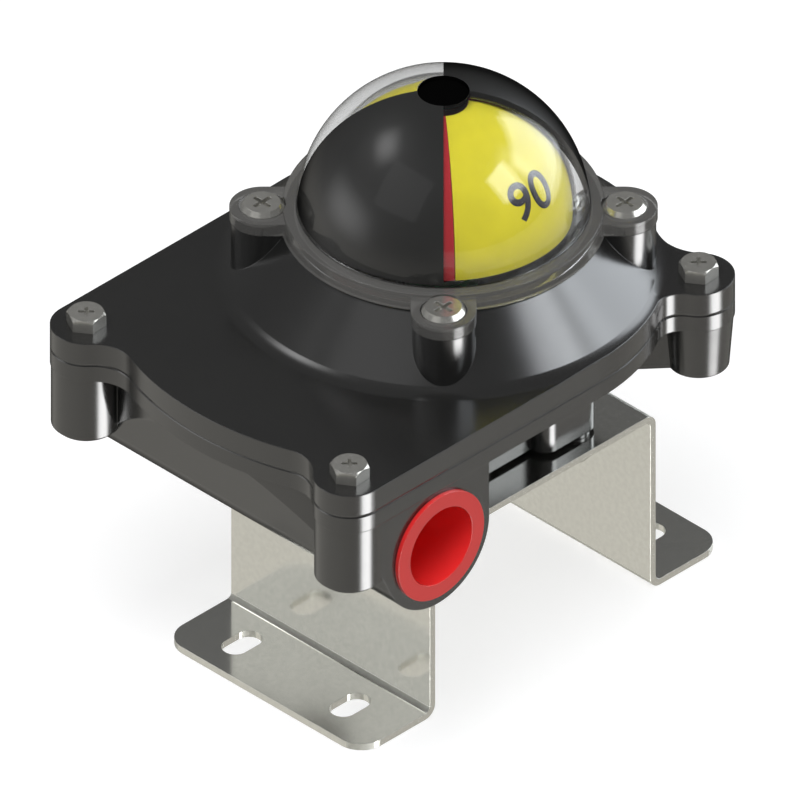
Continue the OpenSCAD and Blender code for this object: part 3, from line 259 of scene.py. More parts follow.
class SharedEffects:
    """Node groups that several finishes use, each built once.

    Attributes:
        grain_patches: patches per metre over which the roughness wanders.
        wear_patches: patches per metre in which edges are rubbed.
        dust_patches: patches per metre in which dust lies.
        rubbed: noise values between which an edge goes from whole to rubbed.
        dusty: noise values between which a place goes from clean to dusty.
        worn_turn: turns of the normal between which an edge starts to wear.
        dusty_tilt: upward parts of the normal between which dust starts to lie.
        least_roughness: the smoothest that any finish is.
        bevel_samples: how many rays find the rounded edge.
    """

    grain_patches: float = 60.0
    wear_patches: float = 420.0
    dust_patches: float = 45.0
    rubbed: Range = (0.35, 0.65)
    dusty: Range = (0.3, 0.75)
    worn_turn: Range = (0.03, 0.25)
    dusty_tilt: Range = (0.2, 0.95)
    least_roughness: float = 0.02
    bevel_samples: int = 6

    def __init__(self) -> None:
        """Builds the three groups."""
        self.grain = self._build_grain()
        self.edge = self._build_edge()
        self.dust = self._build_dust()

    @staticmethod
    def _group(name: str, inputs: Iterable[tuple[str, str, object]],
               outputs: Iterable[tuple[str, str]]) -> tuple[Graph, bpy.types.Node, bpy.types.Node]:
        """Starts a group with its sockets.

        Args:
            name: name of the group.
            inputs: name, socket type and default of each input.
            outputs: name and socket type of each output.

        Returns:
            The group's graph, its input node and its output node.
        """
        tree = bpy.data.node_groups.new(name, "ShaderNodeTree")
        for label, kind, default in inputs:
            socket = tree.interface.new_socket(label, in_out="INPUT", socket_type=kind)
            socket.default_value = default
        for label, kind in outputs:
            tree.interface.new_socket(label, in_out="OUTPUT", socket_type=kind)
        graph = Graph(tree)
        return graph, graph.add("NodeGroupInput"), graph.add("NodeGroupOutput")

    def _build_grain(self) -> bpy.types.NodeTree:
        """Fine marks: a height for a bump and a roughness that wanders with them.

        Returns:
            The group's node tree.
        """
        graph, given, result = self._group(
            "surface_grain",
            [("Vector", "NodeSocketVector", (0.0, 0.0, 0.0)),
             ("Marks", "NodeSocketVector", (1000.0, 1000.0, 1000.0)),
             ("Roughness", "NodeSocketFloat", 0.3),
             ("Spread", "NodeSocketFloat", 0.05)],
            [("Height", "NodeSocketFloat"), ("Roughness", "NodeSocketFloat")])
        scaled = graph.vector("MULTIPLY", given.outputs["Vector"], given.outputs["Marks"])
        height = graph.noise(scaled, 1.0, 2.0)
        patches = graph.noise(given.outputs["Vector"], self.grain_patches, 4.0)
        swing = graph.math("SUBTRACT", graph.math("ADD", height, patches), 1.0)
        rough = graph.math("ADD", given.outputs["Roughness"],
                           graph.math("MULTIPLY", swing, given.outputs["Spread"]))
        graph.put(result.inputs["Height"], height)
        graph.put(result.inputs["Roughness"], graph.math("MAXIMUM", rough, self.least_roughness))
        return graph.tree

    def _build_edge(self) -> bpy.types.NodeTree:
        """Edges rubbed paler: compares the true normal with one rounded over the edge.

        Returns:
            The group's node tree.
        """
        graph, given, result = self._group(
            "edge_wear",
            [("Vector", "NodeSocketVector", (0.0, 0.0, 0.0)),
             ("Colour", "NodeSocketColor", (0.5, 0.5, 0.5, 1.0)),
             ("Worn", "NodeSocketColor", (0.8, 0.8, 0.8, 1.0)),
             ("Amount", "NodeSocketFloat", 0.5),
             ("Radius", "NodeSocketFloat", 0.0004)],
            [("Colour", "NodeSocketColor"), ("Mask", "NodeSocketFloat"),
             ("Normal", "NodeSocketVector")])
        rounded = graph.add("ShaderNodeBevel", Radius=given.outputs["Radius"])
        rounded.samples = self.bevel_samples
        true = graph.add("ShaderNodeNewGeometry")
        turn = graph.math("SUBTRACT", 1.0, graph.dot(rounded.outputs[0], true.outputs["Normal"]))
        patches = graph.noise(given.outputs["Vector"], self.wear_patches, 4.0)
        mask = graph.math("MULTIPLY", graph.ramp(turn, *self.worn_turn),
                          graph.ramp(patches, *self.rubbed))
        mask = graph.math("MULTIPLY", mask, given.outputs["Amount"])
        graph.put(result.inputs["Mask"], mask)
        graph.put(result.inputs["Colour"],
                  graph.mix(mask, given.outputs["Colour"], given.outputs["Worn"]))
        graph.put(result.inputs["Normal"], rounded.outputs[0])
        return graph.tree

    def _build_dust(self) -> bpy.types.NodeTree:
        """A thin film of dust on what faces upwards.

        Returns:
            The group's node tree.
        """
        graph, given, result = self._group(
            "settled_dust",
            [("Vector", "NodeSocketVector", (0.0, 0.0, 0.0)),
             ("Facing", "NodeSocketVector", UPWARDS),
             ("Colour", "NodeSocketColor", (0.5, 0.5, 0.5, 1.0)),
             ("Dust", "NodeSocketColor", (0.45, 0.43, 0.40, 1.0)),
             ("Amount", "NodeSocketFloat", 0.02)],
            [("Colour", "NodeSocketColor"), ("Mask", "NodeSocketFloat")])
        up = graph.ramp(graph.dot(given.outputs["Facing"], UPWARDS), *self.dusty_tilt)
        patches = graph.noise(given.outputs["Vector"], self.dust_patches, 6.0)
        settled = graph.math("MULTIPLY", up, graph.ramp(patches, *self.dusty))
        mask = graph.math("MULTIPLY", settled, given.outputs["Amount"])
        graph.put(result.inputs["Mask"], mask)
        graph.put(result.inputs["Colour"],
                  graph.mix(mask, given.outputs["Colour"], given.outputs["Dust"]))
        return graph.tree


@dataclass(frozen=True)
class Finish:
    """An opaque finish: paint, metal, rubber or moulded plastic.

    Attributes:
        name: name of the material.
        colour: base colour, linear.
        roughness: roughness between the marks.
        metallic: share of metal.
        specular: specular level.
        ior: index of refraction.
        coat: weight of a clear coat.
        grain: how the fine marks run.
        grain_um: depth of the marks in micrometres.
        spread: how far the roughness wanders.
        edge_mm: radius over which edges are rounded, in millimetres.
        worn: colour of rubbed edges.
        wear: share of the edges that is rubbed.
        dust: share of dust on what faces upwards.
        shade: depth of the darker patches.
        shade_size: darker patches per metre.
        duller_bends: roughness that bent and punched stretches have over flat ones.
        seam_node: node whose top is level with a seam, or nothing.
        seam_half: half of the seam's width in metres.
        seam_depth: depth of the seam in metres.
        dark_share: brightness of the darkest patches.
        patchy: noise values between which a place goes from plain to dark.
        bent: largest parts of the normal between which a face goes from bent to flat.
        dust_roughness: roughness that full dust adds.
        coat_roughness: roughness of the clear coat.
    """

    name: str
    colour: Colour
    roughness: float
    metallic: float = 0.0
    specular: float = 0.5
    ior: float = 1.5
    coat: float = 0.0
    grain: Grain = Grain.MOULDED
    grain_um: float = 1.0
    spread: float = 0.04
    edge_mm: float = 0.2
    worn: Colour = (0.6, 0.6, 0.6)
    wear: float = 0.0
    dust: float = 0.0
    shade: float = 0.0
    shade_size: float = 120.0
    duller_bends: float = 0.0
    seam_node: str = ""
    seam_half: float = 0.35 * MM
    seam_depth: float = 0.16 * MM
    dark_share: ClassVar[float] = 0.55
    patchy: ClassVar[Range] = (0.25, 0.75)
    bent: ClassVar[Range] = (0.94, 0.995)
    dust_roughness: ClassVar[float] = 0.4
    coat_roughness: ClassVar[float] = 0.03

    def build(self, effects: SharedEffects) -> bpy.types.Material:
        """Makes the material.

        Args:
            effects: the shared node groups.

        Returns:
            A new material named after the finish.
        """
        material = bpy.data.materials.new(self.name)
        material.use_nodes = True
        nodes = material.node_tree.nodes
        nodes.remove(nodes["Principled BSDF"])
        graph = Graph(material.node_tree)
        graph.put(nodes["Material Output"].inputs["Surface"], self.shade_with(graph, effects))
        return material

    def shade_with(self, graph: Graph, effects: SharedEffects) -> bpy.types.NodeSocket:
        """Adds the finish's shader and all that feeds it.

        Args:
            graph: graph of the material that gets the shader.
            effects: the shared node groups.

        Returns:
            The shader's socket.
        """
        place = graph.add("ShaderNodeTexCoord")
        where = place.outputs["Object"]
        tone = graph.ramp(graph.noise(where, self.shade_size, 5.0), *self.patchy, 0.0, self.shade)
        darker = tuple(self.dark_share * part for part in self.colour)
        wear = graph.group(effects.edge, Vector=where, Worn=rgba(self.worn), Amount=self.wear,
                           Colour=graph.mix(tone, rgba(self.colour), rgba(darker)),
                           Radius=self.edge_mm * MM)
        film = graph.group(effects.dust, Vector=where, Facing=place.outputs["Normal"],
                           Colour=wear.outputs["Colour"], Amount=self.dust)
        marks = graph.group(effects.grain, Vector=where, Marks=self.grain.value,
                            Roughness=self.roughness, Spread=self.spread)
        bump = graph.add("ShaderNodeBump", Strength=1.0, Distance=self.grain_um * 1e-6,
                         Height=marks.outputs["Height"], Normal=wear.outputs["Normal"])
        if self.seam_node:
            bump = graph.add("ShaderNodeBump", Strength=1.0, Distance=self.seam_depth,
                             Height=self._seam(graph, where), Normal=bump.outputs["Normal"])
        rough = graph.math("ADD", marks.outputs["Roughness"],
                           graph.math("MULTIPLY", film.outputs["Mask"], self.dust_roughness))
        if self.duller_bends:
            rough = graph.math("ADD", rough, self._bends(graph, place.outputs["Normal"]))
        shader = graph.add("ShaderNodeBsdfPrincipled", Base_Color=film.outputs["Colour"],
                           Roughness=rough, Normal=bump.outputs["Normal"])
        shader.inputs["Metallic"].default_value = self.metallic
        shader.inputs["Specular IOR Level"].default_value = self.specular
        shader.inputs["IOR"].default_value = self.ior
        shader.inputs["Coat Weight"].default_value = self.coat
        shader.inputs["Coat Roughness"].default_value = self.coat_roughness
        return shader.outputs[0]

    def _seam(self, graph: Graph, where: bpy.types.NodeSocket) -> bpy.types.NodeSocket:
        """Height of the groove where the two castings meet, level with the lower one's top.

        Args:
            graph: the material's graph.
            where: the place on the object.

        Returns:
            A value that falls from 1 to 0 at the middle of the groove.
        """
        level = graph.add("ShaderNodeSeparateXYZ", Vector=where).outputs["Z"]
        off = graph.math("SUBTRACT", level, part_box(self.seam_node)[1][2])
        return graph.ramp(graph.math("ABSOLUTE", off), 0.0, self.seam_half, smooth=False)

    def _bends(self, graph: Graph, facing: bpy.types.NodeSocket) -> bpy.types.NodeSocket:
        """Roughness that bent and punched stretches have over the flat sheet.

        Args:
            graph: the material's graph.
            facing: the surface normal in the object's frame.

        Returns:
            The roughness to add, which is 0 on faces square to an axis.
        """
        axes = graph.add("ShaderNodeSeparateXYZ", Vector=graph.vector("ABSOLUTE", facing, facing))
        largest = graph.math("MAXIMUM", axes.outputs["X"],
                             graph.math("MAXIMUM", axes.outputs["Y"], axes.outputs["Z"]))
        return graph.ramp(largest, *self.bent, self.duller_bends, 0.0)


@dataclass(frozen=True)
class PrintedDome:
    """Clear plastic dome with two black quarters and a smoky, thick flange.

    Lamps shine through it on to what it covers. Lengths are in metres.

    Attributes:
        name: name of the material.
        tint: colour of the clear plastic.
        film: finish of the black quarters.
        seat: finish of the black round the cap.
        haze: colour of the smoky share.
        ior: index of refraction of the plastic.
        shell_r: outer radius of the shell, where the flange starts.
        print_foot_z: height of the foot of the black quarters.
        cap_r: radius of the cap.
        cap_foot_z: height above which the cap's seat is black.
        haze_face: smoky share where the shell faces the eye.
        haze_rim: smoky share where the shell is seen at a slant.
        haze_flange: smoky share in the flange.
        line: width over which a printed edge fades.
        edge_r: radius over which edges are rounded.
        marks: fine marks per metre.
        slanting: slants between which the clear shell goes from clear to smoky.
        matt_slant: slants between which the black film goes from glossy to matt.
        matt_share: how matt the film is at its rim.
        flange_fade: width over which the shell turns into the smoky flange.
        seat_reach: how far the seat's black reaches past the cap.
        smoky_roughness: roughness of the smoky share.
        clear_roughness: roughness of the clear plastic.
        clear_spread: how far that roughness wanders.
    """

    name: str
    tint: Colour
    film: Finish
    seat: Finish
    haze: Colour = (0.15, 0.146, 0.138)
    ior: float = 1.45
    shell_r: float = 28.9 * MM
    print_foot_z: float = 94.9 * MM
    cap_r: float = 5.05 * MM
    cap_foot_z: float = 119.5 * MM
    haze_face: float = 0.03
    haze_rim: float = 0.55
    haze_flange: float = 0.58
    line: float = 0.06 * MM
    edge_r: float = 0.35 * MM
    marks: float = 60.0
    slanting: ClassVar[Range] = (0.35, 1.0)
    matt_slant: ClassVar[Range] = (0.4, 0.85)
    matt_share: ClassVar[float] = 0.9
    flange_fade: ClassVar[float] = 0.4 * MM
    seat_reach: ClassVar[float] = 0.1 * MM
    smoky_roughness: ClassVar[float] = 0.22
    clear_roughness: ClassVar[float] = 0.02
    clear_spread: ClassVar[float] = 0.01

    def build(self, effects: SharedEffects) -> bpy.types.Material:
        """Makes the material.

        Args:
            effects: the shared node groups.

        Returns:
            A new material named after the finish.
        """
        material = bpy.data.materials.new(self.name)
        material.use_nodes = True
        graph = Graph(material.node_tree)
        clear = material.node_tree.nodes["Principled BSDF"]
        where = graph.add("ShaderNodeTexCoord").outputs["Object"]
        marks = graph.group(effects.grain, Vector=where, Marks=(self.marks,) * 3,
                            Roughness=self.clear_roughness, Spread=self.clear_spread)
        soft_edge = graph.group(effects.edge, Vector=where, Colour=rgba(self.tint),
                                Worn=rgba(self.tint), Amount=0.0, Radius=self.edge_r)
        clear.inputs["Transmission Weight"].default_value = 1.0
        clear.inputs["IOR"].default_value = self.ior
        graph.put(clear.inputs["Base Color"], soft_edge.outputs["Colour"])
        graph.put(clear.inputs["Roughness"], marks.outputs["Roughness"])
        graph.put(clear.inputs["Normal"], soft_edge.outputs["Normal"])

        smoky = graph.add("ShaderNodeBsdfPrincipled", Base_Color=rgba(self.haze),
                          Roughness=self.smoky_roughness, Normal=soft_edge.outputs["Normal"])
        body = graph.blend(self._haze(graph, where), clear.outputs[0], smoky.outputs[0])
        matt = self.seat.shade_with(graph, effects)
        slant = graph.add("ShaderNodeLayerWeight", Blend=0.5).outputs["Facing"]
        film = graph.blend(graph.ramp(slant, *self.matt_slant, 0.0, self.matt_share),
                           self.film.shade_with(graph, effects), matt)
        body = graph.blend(self._print(graph, where), body, film)
        body = graph.blend(self._seat(graph, where), body, matt)
        rays = graph.add("ShaderNodeLightPath")
        let_through = graph.add("ShaderNodeBsdfTransparent", Color=rgba(self.tint))
        body = graph.blend(rays.outputs["Is Shadow Ray"], body, let_through.outputs[0])
        graph.put(material.node_tree.nodes["Material Output"].inputs["Surface"], body)
        return material

    def _radius(self, graph: Graph, where: bpy.types.NodeSocket) -> bpy.types.NodeSocket:
        """Distance from the upright axis."""
        flat = graph.vector("MULTIPLY", where, (1.0, 1.0, 0.0))
        return graph.vector("LENGTH", flat, (0.0, 0.0, 0.0), "Value")

    def _haze(self, graph: Graph, where: bpy.types.NodeSocket) -> bpy.types.NodeSocket:
        """Share of the smoky shader: little face on, more at a slant, most in the flange.

        Args:
            graph: the material's graph.
            where: the place on the object.

        Returns:
            A value from 0 to 1.
        """
        weight = graph.add("ShaderNodeLayerWeight", Blend=0.5)
        slant = graph.ramp(weight.outputs["Facing"], *self.slanting, self.haze_face,
                           self.haze_rim)
        flange = graph.ramp(self._radius(graph, where), self.shell_r,
                            self.shell_r + self.flange_fade)
        return graph.math("MAXIMUM", slant, graph.math("MULTIPLY", flange, self.haze_flange))

    def _print(self, graph: Graph, where: bpy.types.NodeSocket) -> bpy.types.NodeSocket:
        """Where the black film shows: two quarters of the dome.

        Args:
            graph: the material's graph.
            where: the place on the object.

        Returns:
            A value of 0 or 1.
        """
        axes = graph.add("ShaderNodeSeparateXYZ", Vector=where)
        lean = graph.math("SUBTRACT", graph.math("ABSOLUTE", axes.outputs["X"]),
                          graph.math("ABSOLUTE", axes.outputs["Y"]))
        upper = graph.step(axes.outputs["Z"], self.print_foot_z, self.line)
        return graph.math("MULTIPLY", upper, graph.step(lean, 0.0, self.line))

    def _seat(self, graph: Graph, where: bpy.types.NodeSocket) -> bpy.types.NodeSocket:
        """Where the dome is blackened round its cap.

        Args:
            graph: the material's graph.
            where: the place on the object.

        Returns:
            A value of 0 or 1.
        """
        height = graph.add("ShaderNodeSeparateXYZ", Vector=where).outputs["Z"]
        near = graph.step(self.cap_r + self.seat_reach, self._radius(graph, where), self.line)
        return graph.math("MULTIPLY", near, graph.step(height, self.cap_foot_z, self.line))


STEEL_SHEET = Finish("stainless_sheet", (0.80, 0.80, 0.755), 0.12, metallic=0.96,
                     grain=Grain.SATIN, grain_um=0.35, spread=0.06, edge_mm=0.12,
                     dust=0.02, shade=0.14, shade_size=900.0, duller_bends=0.65)
STEEL_FASTENER = Finish("steel_fastener", (0.56, 0.55, 0.51), 0.22, metallic=0.78,
                        grain=Grain.SATIN, grain_um=0.8, spread=0.08, edge_mm=0.15,
                        worn=(0.9, 0.89, 0.85), wear=0.3, dust=0.03, shade=0.25, shade_size=700.0)
TURNED_STEEL = Finish("turned_steel", (0.58, 0.57, 0.54), 0.2, metallic=1.0, grain=Grain.TURNED,
                      grain_um=0.8, spread=0.06, edge_mm=0.2, worn=(0.85, 0.84, 0.8), wear=0.5,
                      shade=0.1)
SPRING_WIRE = Finish("spring_wire", (0.6, 0.6, 0.6), 0.18, metallic=1.0, grain=Grain.SATIN,
                     grain_um=0.3, edge_mm=0.05, shade=0.1)
BLACK_CASTING = Finish("black_casting", (0.012, 0.012, 0.0115), 0.22, ior=1.9,
                       grain=Grain.PEEL, grain_um=0.8, spread=0.03, edge_mm=0.3,
                       worn=(0.10, 0.10, 0.10), wear=0.25, dust=0.004, shade=0.15,
                       seam_node="housing_base")
BLACK_FILM = Finish("black_film", (0.009, 0.009, 0.0085), 0.44, ior=1.7, coat=0.6,
                    grain=Grain.PEEL, grain_um=0.1, shade=0.05, edge_mm=0.02)
BLACK_DISC = Finish("black_disc", (0.0015, 0.0015, 0.0015), 0.8, specular=0.0, grain_um=0.5,
                    edge_mm=0.02)
BLACK_RUBBER = Finish("black_rubber", (0.02, 0.02, 0.021), 0.65, specular=0.35,
                      grain_um=6.0, shade=0.3, dust=0.04)
DRUM_YELLOW = Finish("drum_yellow", (0.86, 0.74, 0.035), 0.38, specular=0.2, grain_um=2.0,
                     edge_mm=0.15, worn=(0.9, 0.88, 0.5), wear=0.3, shade=0.22, shade_size=150.0)
DRUM_RED = Finish("drum_red", (0.50, 0.02, 0.03), 0.38, specular=0.2, grain_um=2.0,
                  edge_mm=0.15, worn=(0.8, 0.3, 0.3), wear=0.3, shade=0.12, shade_size=180.0)
PLUG_RED = Finish("plug_red", (0.92, 0.035, 0.035), 0.12, ior=1.6, coat=0.3, grain=Grain.PEEL,
                  grain_um=2.0, edge_mm=0.25, worn=(0.95, 0.25, 0.22), wear=0.5, shade=0.1)
BEARING_TAN = Finish("bearing_tan", (0.50, 0.38, 0.20), 0.45, grain_um=3.0, shade=0.15)
NYLON_WHITE = Finish("nylon_white", (0.80, 0.80, 0.77), 0.35, grain_um=2.0, shade=0.06)
NYLON_GREEN = Finish("nylon_green", (0.04, 0.36, 0.10), 0.35, grain_um=2.0, shade=0.12)
NYLON_RED = Finish("nylon_red", (0.58, 0.045, 0.045), 0.35, grain_um=2.0, shade=0.12)
DARK_MOULDING = Finish("dark_moulding", (0.045, 0.046, 0.052), 0.4, grain_um=3.0, wear=0.2,
                       worn=(0.14, 0.14, 0.15), shade=0.15)
BRASS = Finish("brass", (0.72, 0.52, 0.20), 0.25, metallic=1.0, grain=Grain.SATIN, grain_um=0.8,
               spread=0.1, wear=0.4, worn=(0.9, 0.75, 0.4), shade=0.25, shade_size=400.0)
INSULATOR = Finish("insulator_sheet", (0.66, 0.64, 0.55), 0.5, grain_um=4.0, edge_mm=0.05,
                   shade=0.15)
EARTH_GREEN = Finish("earth_green", (0.04, 0.28, 0.09), 0.3, metallic=0.7, grain=Grain.SATIN,
                     grain_um=0.8, wear=0.5, worn=(0.5, 0.6, 0.5), shade=0.15)
FIGURE_INK = Finish("figure_ink", (0.030, 0.028, 0.045), 0.45, grain_um=1.0, edge_mm=0.02,
                    shade=0.3, shade_size=900.0)
PRINTED_DOME = PrintedDome("printed_dome", (0.95, 0.96, 0.96), BLACK_FILM, BLACK_DISC)


class Workshop:
    """Holds the shared effects and builds each finish once."""

    def __init__(self) -> None:
        """Builds the effects, with no finish made yet."""
        self.effects = SharedEffects()
        self.made: dict[str, bpy.types.Material] = {}

    def material(self, finish: Finish | PrintedDome) -> bpy.types.Material:
        """Gives the material of a finish, which is built the first time.

        Args:
            finish: the finish that is wanted.

        Returns:
            The one material of that finish.
        """
        if finish.name not in self.made:
            self.made[finish.name] = finish.build(self.effects)
        return self.made[finish.name]


@dataclass
class SubAssembly:
    """Base of the sub-assemblies, each a group of CAD nodes that are dressed together."""

    shop: Workshop

    def coat(self, finish: Finish | PrintedDome, *nodes: str) -> None:
        """Gives CAD nodes their finish and reports them.

        Args:
            finish: the finish of all these nodes.
            *nodes: names of the nodes.
        """
        for node in nodes:
            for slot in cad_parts[node].material_slots:
                slot.material = self.shop.material(finish)
            log.info("%s: %s is %s", type(self).__name__, node, finish.name)

    def build(self) -> None:
        """Makes and dresses the sub-assembly, which each kind does in its own way."""
        raise NotImplementedError


class Bracket(SubAssembly):
    """Bent steel sheet that carries the housing over the actuator, with its screws."""

    def build(self) -> None:
        """Dresses the sheet and its fasteners."""
        self.coat(STEEL_SHEET, "mounting_bracket")
        self.coat(STEEL_FASTENER, "bracket_screws", "bracket_washers")


class Housing(SubAssembly):
    """Two black castings with their bolts, gasket and dust plugs."""

    def build(self) -> None:
        """Dresses the castings and what closes them."""
        self.coat(BLACK_CASTING, "housing_base", "housing_cover")
        self.coat(STEEL_FASTENER, "cover_bolts")
        self.coat(BLACK_RUBBER, "cover_gasket")
        self.coat(PLUG_RED, "dust_plug_left", "dust_plug_right")


class Dome(SubAssembly):
    """Clear dome with its black quarters, cap, seal and screws."""

    def build(self) -> None:
        """Dresses the dome and what is on it."""
        self.coat(PRINTED_DOME, "clear_dome")
        self.coat(BLACK_FILM, "dome_mask")
        self.coat(BLACK_DISC, "dome_cap")
        self.coat(BLACK_RUBBER, "dome_o_ring")
        self.coat(STEEL_FASTENER, "dome_screws")


class Spindle(SubAssembly):
    """Shaft with its bearings, seals, cams and cam spring."""

    def build(self) -> None:
        """Dresses the shaft and what turns with it or carries it."""
        self.coat(TURNED_STEEL, "shaft")
        self.coat(BLACK_RUBBER, "shaft_o_rings")
        self.coat(BEARING_TAN, "shaft_bushes", "thrust_washers")
        self.coat(STEEL_FASTENER, "shaft_circlip", "cam_circlip")
        self.coat(SPRING_WIRE, "cam_spring")
        self.coat(NYLON_GREEN, "cam_open")
        self.coat(NYLON_RED, "cam_closed")
        self.coat(NYLON_WHITE, "cam_spacer")


class Switches(SubAssembly):
    """Two switches on their plate, with levers, rollers and plungers."""

    def build(self) -> None:
        """Dresses the switches and the mechanism that presses them."""
        self.coat(STEEL_FASTENER, "switch_plate", "plate_screws", "switch_screws", "lever_pins",
                  "lever_open", "lever_closed", "roller_pin_open", "roller_pin_closed")
        self.coat(DARK_MOULDING, "switch_open", "switch_closed")
        self.coat(INSULATOR, "switch_insulator")
        self.coat(BRASS, "switch_tags")
        self.coat(NYLON_WHITE, "roller_open", "roller_closed")
        self.coat(NYLON_RED, "plunger_open", "plunger_closed")


class Terminals(SubAssembly):
    """Terminal block with its screws and clamps, and the earth screw."""

    def build(self) -> None:
        """Dresses the terminals."""
        self.coat(DARK_MOULDING, "terminal_block")
        self.coat(STEEL_FASTENER, "terminal_screws", "terminal_block_screws")
        self.coat(BRASS, "terminal_clamps")
        self.coat(EARTH_GREEN, "earth_screw")


@dataclass
class Indicator(SubAssembly):
    """The turning drum with the figures printed on its four quarters.

    Lengths are in metres and angles in degrees.

    Attributes:
        drum_radius: outer radius of the drum's sphere.
        centre_height: height of the sphere's centre.
        figure_height: height of a digit.
        latitude: height of the figures above the sphere's equator.
        set_angle: turn of the drum on its carrier.
        lift: gap between the drum and the print.
        ink: thickness of the print.
        cell: size of the cells that let a flat figure follow the sphere.
        stroke: how far the strokes are widened to each side.
        figures: the text at the middle of each quarter.
        digit_share: height of a digit as a share of the font's size.
        curve_steps: straight pieces in each curve of a digit.
        merge_distance: gap below which corners are one.
        cut_distance: gap below which a cut takes a corner as its own.
    """

    drum_radius: float = 25.4 * MM
    centre_height: float = 92.9 * MM
    figure_height: float = 7.5 * MM
    latitude: float = 30.0
    set_angle: float = 5.0
    lift: float = 0.03 * MM
    ink: float = 0.06 * MM
    cell: float = 0.8 * MM
    stroke: float = 0.15 * MM
    figures: dict[float, str] = field(
        default_factory=lambda: {270.0: "90", 90.0: "90", 0.0: "0", 180.0: "0"})
    digit_share: ClassVar[float] = 0.7
    curve_steps: ClassVar[int] = 6
    merge_distance: ClassVar[float] = 1e-6
    cut_distance: ClassVar[float] = 1e-7

    def build(self) -> None:
        """Dresses the drum and prints its figures."""
        self.coat(DRUM_YELLOW, "indicator_yellow", "indicator_carrier")
        self.coat(DRUM_RED, "indicator_red")
        self.coat(STEEL_FASTENER, "indicator_screw")
        for middle, text in self.figures.items():
            figure = self._figure(text, middle + self.set_angle, f"figure_{text}_{middle:.0f}")
            figure.data.materials.append(self.shop.material(FIGURE_INK))
            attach(figure, "spindle")
            log.info("%s: %s rides on spindle", type(self).__name__, figure.name)

    def _figure(self, text: str, longitude: float, name: str) -> bpy.types.Object:
        """Makes one figure from the built-in font.

        Args:
            text: plain digits.
            longitude: place round the drum, in degrees.
            name: name of the object.

        Returns:
            The object, with its place in its mesh.
        """
        curve = bpy.data.curves.new(name, "FONT")
        curve.body = text
        curve.size = self.figure_height / self.digit_share
        curve.align_x = "CENTER"
        curve.align_y = "CENTER"
        curve.resolution_u = self.curve_steps
        curve.offset = self.stroke
        holder = bpy.data.objects.new(name + "_outline", curve)
        bpy.context.scene.collection.objects.link(holder)
        flat = bpy.data.meshes.new_from_object(holder)
        bpy.data.objects.remove(holder)
        bpy.data.curves.remove(curve)

        shape = bmesh.new()
        shape.from_mesh(flat)
        bpy.data.meshes.remove(flat)
        bmesh.ops.remove_doubles(shape, verts=shape.verts, dist=self.merge_distance)
        self._slice(shape)
        self._wrap(shape, longitude)
        bmesh.ops.recalc_face_normals(shape, faces=shape.faces)
        bmesh.ops.solidify(shape, geom=shape.faces[:], thickness=-self.ink)
        bmesh.ops.recalc_face_normals(shape, faces=shape.faces)
        mesh = bpy.data.meshes.new(name)
        shape.to_mesh(mesh)
        shape.free()
        figure = bpy.data.objects.new(name, mesh)
        bpy.context.scene.collection.objects.link(figure)
        return figure

    def _slice(self, shape: bmesh.types.BMesh) -> None:
        """Cuts the flat figure into small cells, so that it can follow the sphere.

        Args:
            shape: the flat figure in the XY plane.
        """
        for axis in (Vector((1.0, 0.0, 0.0)), Vector((0.0, 1.0, 0.0))):
            reach = max(abs(v.co.dot(axis)) for v in shape.verts)
            steps = int(reach / self.cell) + 1
            for step in range(-steps, steps + 1):
                bmesh.ops.bisect_plane(
                    shape, geom=shape.verts[:] + shape.edges[:] + shape.faces[:],
                    dist=self.cut_distance, plane_co=axis * (step * self.cell), plane_no=axis)

    def _wrap(self, shape: bmesh.types.BMesh, longitude: float) -> None:
        """Moves the cells on to the sphere by their angles from its centre.

        Args:
            shape: the flat figure in the XY plane.
            longitude: place round the drum, in degrees.
        """
        radius = self.drum_radius + self.lift
        seat = (Matrix.Translation((0.0, 0.0, self.centre_height))
                @ Matrix.Rotation(math.radians(longitude), 4, "Z")
                @ Matrix.Rotation(math.radians(-self.latitude), 4, "Y"))
        for vertex in shape.verts:
            across, up = vertex.co.x / radius, vertex.co.y / radius
            out = Vector((math.cos(up) * math.cos(across), math.cos(up) * math.sin(across),
                          math.sin(up)))
            vertex.co = seat @ (out * radius)


